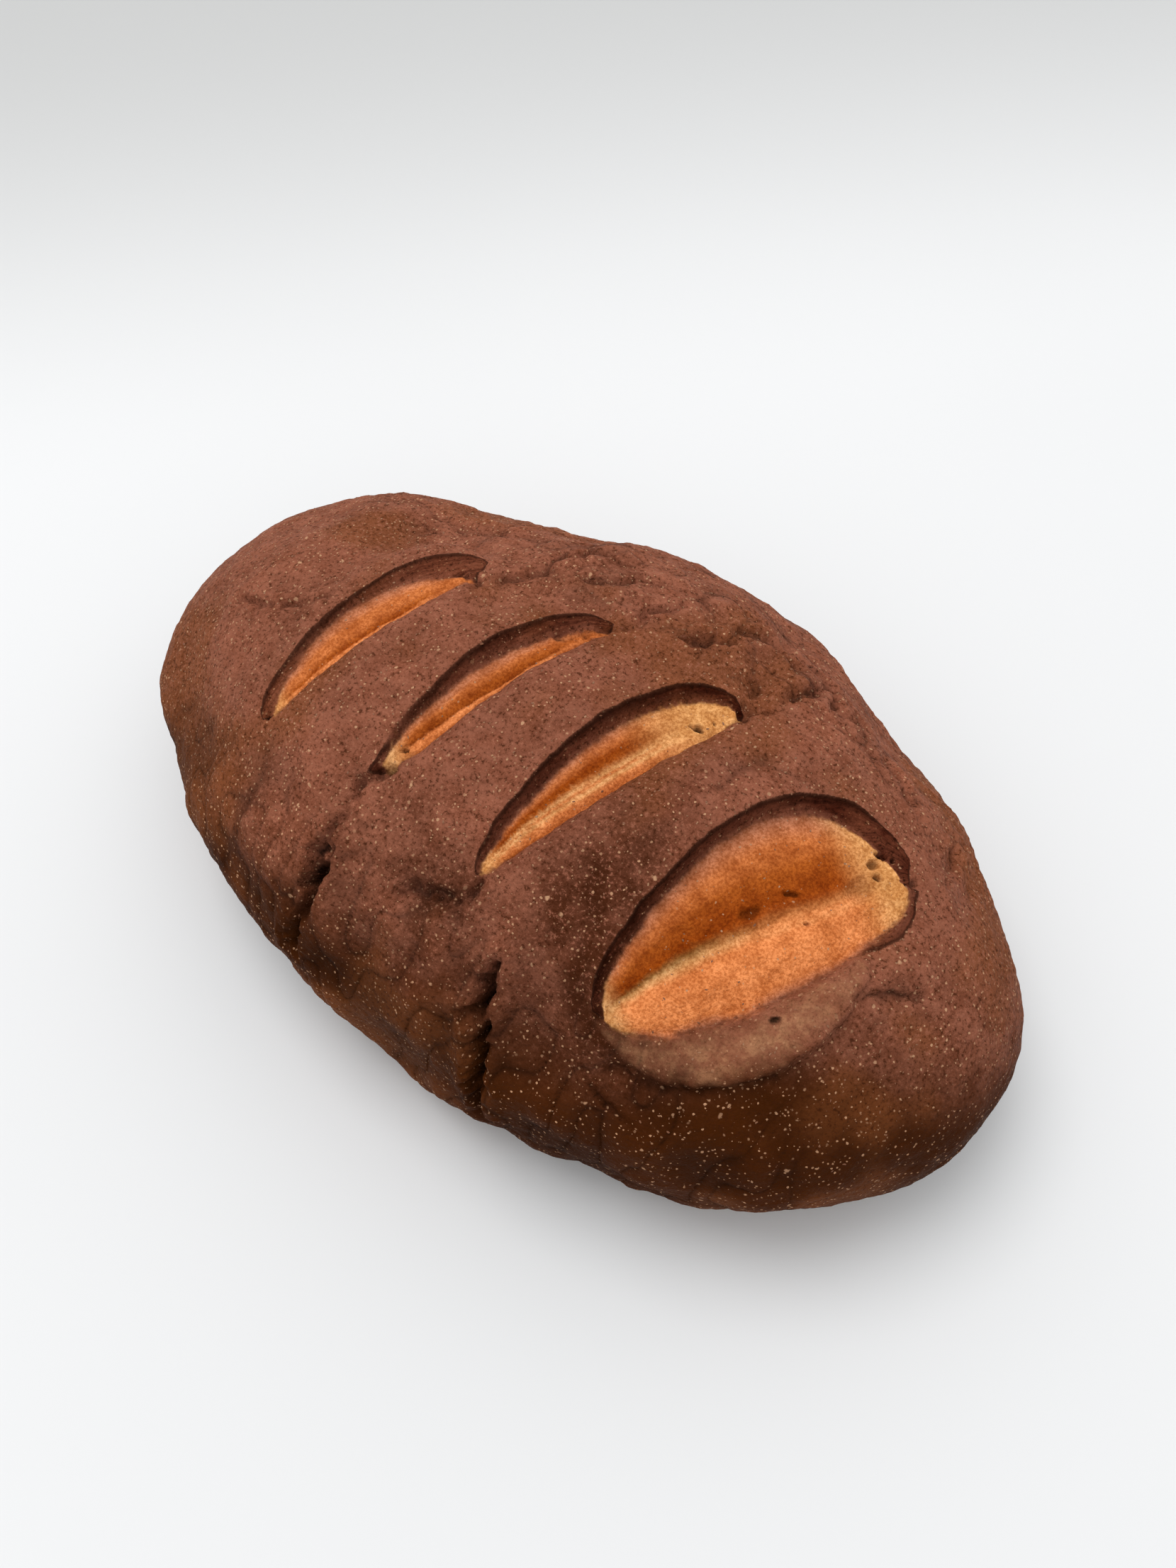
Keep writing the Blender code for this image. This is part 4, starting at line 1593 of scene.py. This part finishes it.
@dataclass
class Loaf:
    """The baked loaf itself, one closed body."""

    form: LoafForm
    finish: CrustFinish
    divisions: int = 9
    triangles: int = 190000
    base_snap: float = 0.03
    shade_patches: tuple[Mound, ...] = PAINTED_SHADE_PATCHES
    # Spots of painted light at both ends and painted shade at the low right, which raise or lower the top
    # mark.
    painted_light_and_shade_spots: tuple[Mound, ...] = (
        Mound((-112, -18, 46), 36.0, 22.0),
        Mound((113, 28, 50), 28.0, 20.0),
        Mound((94, -42, 50), 30.0, -22.0),
    )

    def thinned(self, mesh: bpy.types.Mesh) -> bpy.types.Mesh:
        """The same form with fewer triangles where it is smooth.

        Args:
            mesh: The fine mesh.

        Returns:
            A new mesh.
        """
        helper = add_object("loaf_helper", mesh)
        thin = helper.modifiers.new("thin", "DECIMATE")
        thin.ratio = self.triangles / len(mesh.polygons)
        thin.use_collapse_triangulate = True
        result = converted(helper)
        bpy.data.meshes.remove(mesh)
        return result

    def stand(self, mesh: bpy.types.Mesh) -> None:
        """Flattens the base and puts the loaf where its solid stands.

        Args:
            mesh: The loaf's mesh.
        """
        places = vectors(mesh.vertices, "co") / MM
        places[:, 2] -= places[:, 2].min()
        places[places[:, 2] < self.base_snap, 2] = 0.0
        low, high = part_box("loaf")
        middle = np.array([(low.x + high.x) / 2.0, (low.y + high.y) / 2.0]) / MM
        places[:, :2] += middle - (places.min(axis=0) + places.max(axis=0))[:2] / 2.0
        move_points(mesh, places)

    def marked(self, mesh: bpy.types.Mesh) -> None:
        """Writes what the finish and the bran need onto the mesh.

        Args:
            mesh: The loaf's mesh, which carries its places on the plain body.
        """
        body = vectors(mesh.attributes["body"].data, "vector")
        marks = self.form.openings(*self.form.edge_places(body, self.form.ragged(body)))
        low = smooth_step(*self.form.slash_fade, body[:, 2])
        for name in ("dough", "cut", "lip"):
            mark(mesh, name, marks[name] + FAR_OUTSIDE * (1.0 - low))
        mark(mesh, "grain", marks["grain"])
        mark(mesh, "tint", marks["tint"])
        uneven = 1.0 + 0.45 * SmoothNoise(77).at(body / 7.0) + 0.45 * SmoothNoise(78).at(body / 2.2)
        mark(mesh, "recess_tone_and_shade", np.clip(marks["recess_tone_and_shade"] * uneven, 0.0, 1.0))
        left = smooth_step(35.0, 80.0, -body[:, 0])
        patch = SmoothNoise(71).at(body / 26.0) + 0.5 * SmoothNoise(72).at(body / 9.0)
        flank = 1.0 - smooth_step(38.0, 66.0, body[:, 2])
        warm = np.clip(smooth_step(0.1, 0.9, patch + 0.5 * left + 0.25 * flank), 0.0, 1.0)
        mark(mesh, "warm", warm)
        # Partly a real change of crust colour with height and partly painted light and shade: the crust is
        # paler and pinker high up and towards the far side, and darker on the near flank.
        lit = body[:, 2] + 0.2 * body[:, 1] + 4.0 * SmoothNoise(74).at(body / 21.0)
        for patch in self.painted_light_and_shade_spots:
            patch.press(body, lit)
        mark(mesh, "top_browning_and_light", smooth_step(34.0, 68.0, lit))
        # Painted shade: darker patches of crust on the near side of the slashes and beside the cracks.
        patch_shade = np.zeros(len(body))
        for patch in self.shade_patches:
            patch.press(body + 6.0 * SmoothNoise(75).at(body / 9.0)[:, None], patch_shade)
        patch_shade *= 1.0 + 0.5 * SmoothNoise(76).at(body / 3.5)
        mark(mesh, "patch_shade", np.clip(patch_shade, 0.0, 0.9))
        bran = 0.6 + 0.7 * left + 0.35 * SmoothNoise(73).at(body / 17.0)
        bran *= 1.0 - 0.55 * smooth_step(-0.5, 0.5, marks["cut"])
        bran *= 1.0 - 0.5 * smooth_step(-10.0, 40.0, body[:, 0]) * flank
        mark(mesh, "bran_share", np.clip(bran, 0.05, 1.6) * (body[:, 2] > 2.5))

    def build(self) -> bpy.types.Object:
        """Makes the loaf.

        Returns:
            The loaf's object.
        """
        mesh = self.form.directions(self.divisions)
        body = self.form.body.points(vectors(mesh.vertices, "co"))
        move_points(mesh, body)
        outward = vectors(mesh.vertex_normals, "vector")
        heights, shade = self.form.shape(body, outward)
        move_points(mesh, body + outward * heights[:, None])
        mark(mesh, "body", body)
        mark(mesh, "shade", shade)
        mesh = self.thinned(mesh)
        self.stand(mesh)
        self.marked(mesh)
        mesh.name = "loaf_shape"
        mesh.materials.clear()
        mesh.materials.append(self.finish.build())
        mesh.shade_smooth()
        loaf = add_object("baked_loaf", mesh)
        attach(loaf, "root")
        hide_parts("loaf")
        LOG.info("loaf: %d triangles", len(mesh.polygons))
        return loaf


@dataclass
class BranFlecks:
    """Flakes of bran that stand a little proud of the crust, scattered by Geometry Nodes."""

    carrier: bpy.types.Object
    finish: BranFinish
    density: float = 155000.0
    smallest: float = 0.11
    largest: float = 0.37
    thickness: float = 0.45
    seed: int = 5
    tilt: float = 0.25
    smaller_power: float = 2.6
    narrowest: Place = (0.8, 0.45, 0.5)
    widest: Place = (1.5, 0.9, 1.0)

    def tree(self, material: bpy.types.Material) -> bpy.types.NodeTree:
        """The nodes that scatter the flakes over a surface.

        Args:
            material: The flakes' material.

        Returns:
            The node group.
        """
        tree = bpy.data.node_groups.new("bran_scatter", "GeometryNodeTree")
        tree.interface.new_socket("Surface", in_out="INPUT", socket_type="NodeSocketGeometry")
        for name in ("Density", "Smallest", "Largest", "Thickness"):
            tree.interface.new_socket(name, in_out="INPUT", socket_type="NodeSocketFloat")
        tree.interface.new_socket("Seed", in_out="INPUT", socket_type="NodeSocketInt")
        tree.interface.new_socket("Flakes", in_out="OUTPUT", socket_type="NodeSocketGeometry")
        given = add_node(tree, "NodeGroupInput").outputs
        end = add_node(tree, "NodeGroupOutput")
        share = add_node(tree, "GeometryNodeInputNamedAttribute", {"Name": "bran_share"}, data_type="FLOAT")
        amount = {0: share.outputs["Attribute"], 1: given["Density"]}
        amount = add_node(tree, "ShaderNodeMath", amount, operation="MULTIPLY")
        inputs = {"Mesh": given["Surface"], "Density": amount.outputs["Value"], "Seed": given["Seed"]}
        scatter = add_node(tree, "GeometryNodeDistributePointsOnFaces", inputs)
        inputs = {"Min": (-self.tilt, -self.tilt, 0.0), "Max": (self.tilt, self.tilt, 2.0 * math.pi)}
        spin = add_node(tree, "FunctionNodeRandomValue", inputs, data_type="FLOAT_VECTOR")
        turn = add_node(tree, "FunctionNodeEulerToRotation", {"Euler": spin.outputs["Value"]})
        inputs = {"Rotation": scatter.outputs["Rotation"], "Rotate By": turn.outputs["Rotation"]}
        lie = add_node(tree, "FunctionNodeRotateRotation", inputs, rotation_space="LOCAL")
        size_seed = add_node(tree, "ShaderNodeMath", {0: given["Seed"], 1: 7.0}, operation="ADD")
        inputs = {"Min": 0.0, "Max": 1.0, "Seed": size_seed.outputs["Value"]}
        draw = add_node(tree, "FunctionNodeRandomValue", inputs, data_type="FLOAT")
        inputs = {0: draw.outputs["Value"], 1: self.smaller_power}
        skew = add_node(tree, "ShaderNodeMath", inputs, operation="POWER")
        inputs = {"Value": skew.outputs["Value"], "To Min": given["Smallest"], "To Max": given["Largest"]}
        size = add_node(tree, "ShaderNodeMapRange", inputs)
        inputs = {"Min": self.narrowest, "Max": self.widest, "Seed": 3}
        form = add_node(tree, "FunctionNodeRandomValue", inputs, data_type="FLOAT_VECTOR")
        flat = add_node(tree, "ShaderNodeCombineXYZ", {"X": 1.0, "Y": 1.0, "Z": given["Thickness"]})
        inputs = {0: form.outputs["Value"], 1: flat.outputs["Vector"]}
        thin = add_node(tree, "ShaderNodeVectorMath", inputs, operation="MULTIPLY")
        inputs = {0: thin.outputs["Vector"], "Scale": size.outputs["Result"]}
        scale = add_node(tree, "ShaderNodeVectorMath", inputs, operation="SCALE")
        flake = add_node(tree, "GeometryNodeMeshIcoSphere", {"Radius": 1.0, "Subdivisions": 1})
        inputs = {
            "Points": scatter.outputs["Points"],
            "Instance": flake.outputs["Mesh"],
            "Rotation": lie.outputs["Rotation"],
            "Scale": scale.outputs["Vector"],
        }
        place = add_node(tree, "GeometryNodeInstanceOnPoints", inputs)
        real = add_node(tree, "GeometryNodeRealizeInstances", {"Geometry": place.outputs["Instances"]})
        inputs = {"Geometry": real.outputs["Geometry"], "Material": material}
        dress = add_node(tree, "GeometryNodeSetMaterial", inputs)
        put(end.inputs["Flakes"], dress.outputs["Geometry"])
        return tree

    def build(self) -> bpy.types.Object:
        """Makes the flakes.

        Returns:
            The flakes' object.
        """
        helper = add_object("bran_helper", self.carrier.data)
        spread = helper.modifiers.new("spread", "NODES")
        spread.node_group = self.tree(self.finish.build())
        values = {
            "Density": self.density,
            "Smallest": self.smallest * MM,
            "Largest": self.largest * MM,
            "Thickness": self.thickness,
            "Seed": self.seed,
        }
        for item in spread.node_group.interface.items_tree:
            if item.in_out == "INPUT" and item.name in values:
                spread[item.identifier] = values[item.name]
        mesh = converted(helper)
        mesh.name = "bran_shape"
        flecks = add_object("bran_flecks", mesh)
        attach(flecks, "root")
        LOG.info("bran: %d faces", len(mesh.polygons))
        return flecks


@dataclass(frozen=True)
class Viewpoint:
    """Where the camera stands: over the loaf's near side, looking down at it."""

    focal_pixels: float = 1661.0
    pitch: float = 60.3
    roll: float = -4.0
    yaw: float = -41.24
    height: float = 0.307
    right: float = -0.0083
    away: float = -0.0249
    offset: tuple[float, float] = (0.00075, 0.00245)

    def turn(self) -> Matrix:
        """Turns the camera's heading into the loaf's frame."""
        return Matrix.Rotation(-math.radians(self.yaw), 3, "Z")

    def from_camera(self, place: Place) -> Vector:
        """A place given to the right of, away from and above the middle of the view.

        Args:
            place: Metres to the right, away from the camera and up.

        Returns:
            The place in the loaf's frame.
        """
        return self.turn() @ Vector(place)

    def build(self) -> bpy.types.Object:
        """Makes the camera.

        Returns:
            The camera's object.
        """
        pitch = math.radians(self.pitch)
        roll = math.radians(self.roll)
        back = Vector((0.0, -math.cos(pitch), math.sin(pitch)))
        right = Vector((1.0, 0.0, 0.0))
        up = back.cross(right)
        across = right * math.cos(roll) + up * math.sin(roll)
        above = up * math.cos(roll) - right * math.sin(roll)
        stand = back * (self.height / math.sin(pitch)) - Vector((self.right, self.away, 0.0))
        place = self.turn() @ stand - Vector((*self.offset, 0.0))
        axes = [self.turn() @ axis for axis in (across, above, back)]
        data = bpy.data.cameras.new("view")
        data.sensor_width = SENSOR_MM
        data.lens = SENSOR_MM * self.focal_pixels / IMAGE_HEIGHT
        data.clip_start = 0.01
        data.clip_end = 20.0
        camera = add_object("view", data)
        camera.matrix_world = Matrix(axes).transposed().to_4x4()
        camera.location = place
        bpy.context.scene.camera = camera
        LOG.info("camera ready")
        return camera


@dataclass(frozen=True)
class SoftLight:
    """A broad, soft lamp aimed at the loaf."""

    name: str
    place: Place
    size: float
    power: float
    colour: Colour = (1.0, 1.0, 1.0)

    def build(self, view: Viewpoint) -> bpy.types.Object:
        """Makes the lamp.

        Args:
            view: Viewpoint that its place is given from.

        Returns:
            The lamp's object.
        """
        data = bpy.data.lights.new(self.name, "AREA")
        data.shape = "DISK"
        data.size = self.size
        data.energy = self.power
        data.color = self.colour
        lamp = add_object(self.name, data)
        lamp.location = view.from_camera(self.place)
        aim = Vector((0.0, 0.0, 0.04)) - lamp.location
        lamp.rotation_mode = "QUATERNION"
        lamp.rotation_quaternion = aim.to_track_quat("-Z", "Y")
        lamp.visible_camera = False
        LOG.info("%s ready", self.name)
        return lamp


@dataclass
class Studio:
    """Pale floor that sweeps up behind the loaf, with soft light."""

    view: Viewpoint
    finish: FloorFinish
    reach: float = 2.2
    sweep_start: float = 0.27
    sweep_radius: float = 0.55
    sweep_angle: float = 62.0
    sweep_steps: int = 40
    gamma: float = 0.9
    bright_side: Place = (0.0, 0.35, 0.94)
    front: float = 0.46
    behind: float = 1.06
    sky_colour: Colour = (0.97, 0.985, 1.0)
    lights: tuple[SoftLight, ...] = (
        SoftLight("window", (-0.60, 0.70, 2.80), 1.8, 31.0, (0.99, 0.985, 1.0)),
    )

    def profile(self) -> list[tuple[float, float]]:
        """Line of the floor and its sweep.

        Returns:
            Places away from the camera and up, in metres.
        """
        line = [(-self.reach, 0.0), (0.0, 0.0), (self.sweep_start, 0.0)]
        for step in range(1, self.sweep_steps + 1):
            angle = math.radians(self.sweep_angle) * step / self.sweep_steps
            across = self.sweep_start + self.sweep_radius * math.sin(angle)
            line.append((across, self.sweep_radius * (1.0 - math.cos(angle))))
        return line

    def floor(self) -> bpy.types.Object:
        """Makes the floor.

        Returns:
            The floor's object.
        """
        shape = bmesh.new()
        rows = []
        for away, up in self.profile():
            ends = [self.view.from_camera((side, away, up)) for side in (-self.reach, self.reach)]
            rows.append([shape.verts.new(end) for end in ends])
        for first, second in zip(rows, rows[1:]):
            shape.faces.new((first[0], first[1], second[1], second[0]))
        bmesh.ops.recalc_face_normals(shape, faces=shape.faces)
        if shape.faces[0].normal.z < 0.0:
            bmesh.ops.reverse_faces(shape, faces=shape.faces)
        mesh = bpy.data.meshes.new("floor_shape")
        shape.to_mesh(mesh)
        shape.free()
        mesh.shade_smooth()
        mesh.materials.append(self.finish.build())
        floor = add_object("floor", mesh)
        LOG.info("floor ready")
        return floor

    def surroundings(self) -> None:
        """Makes the light of the room, which is brighter above and behind the loaf."""
        world = bpy.data.worlds.new("room_light")
        world.use_nodes = True
        tree = world.node_tree
        place = add_node(tree, "ShaderNodeTexCoord").outputs["Generated"]
        inputs = {0: place, 1: self.view.from_camera(self.bright_side)}
        toward = add_node(tree, "ShaderNodeVectorMath", inputs, operation="DOT_PRODUCT").outputs["Value"]
        inputs = {"Value": toward, "From Min": -0.4, "To Min": self.front, "To Max": self.behind}
        rise = add_node(tree, "ShaderNodeMapRange", inputs, interpolation_type="SMOOTHSTEP")
        sky = tree.nodes["Background"].inputs
        put(sky["Color"], self.sky_colour)
        put(sky["Strength"], rise.outputs["Result"])
        bpy.context.scene.world = world

    def build(self) -> None:
        """Makes the floor and every light."""
        self.floor()
        self.surroundings()
        for light in self.lights:
            light.build(self.view)
        bpy.context.scene.view_settings.view_transform = "Standard"
        bpy.context.scene.view_settings.gamma = self.gamma


def main() -> None:
    """Builds the loaf, its bran and the studio in order."""
    logging.basicConfig(level=logging.INFO, format="%(message)s")
    loaf = Loaf(LoafForm(), CrustFinish(), divisions=9).build()
    BranFlecks(loaf, BranFinish()).build()
    view = Viewpoint()
    Studio(view, FloorFinish(tuple(view.from_camera((-0.08, 1.0, 0.0))))).build()
    view.build()


if __name__ == "__main__":
    main()
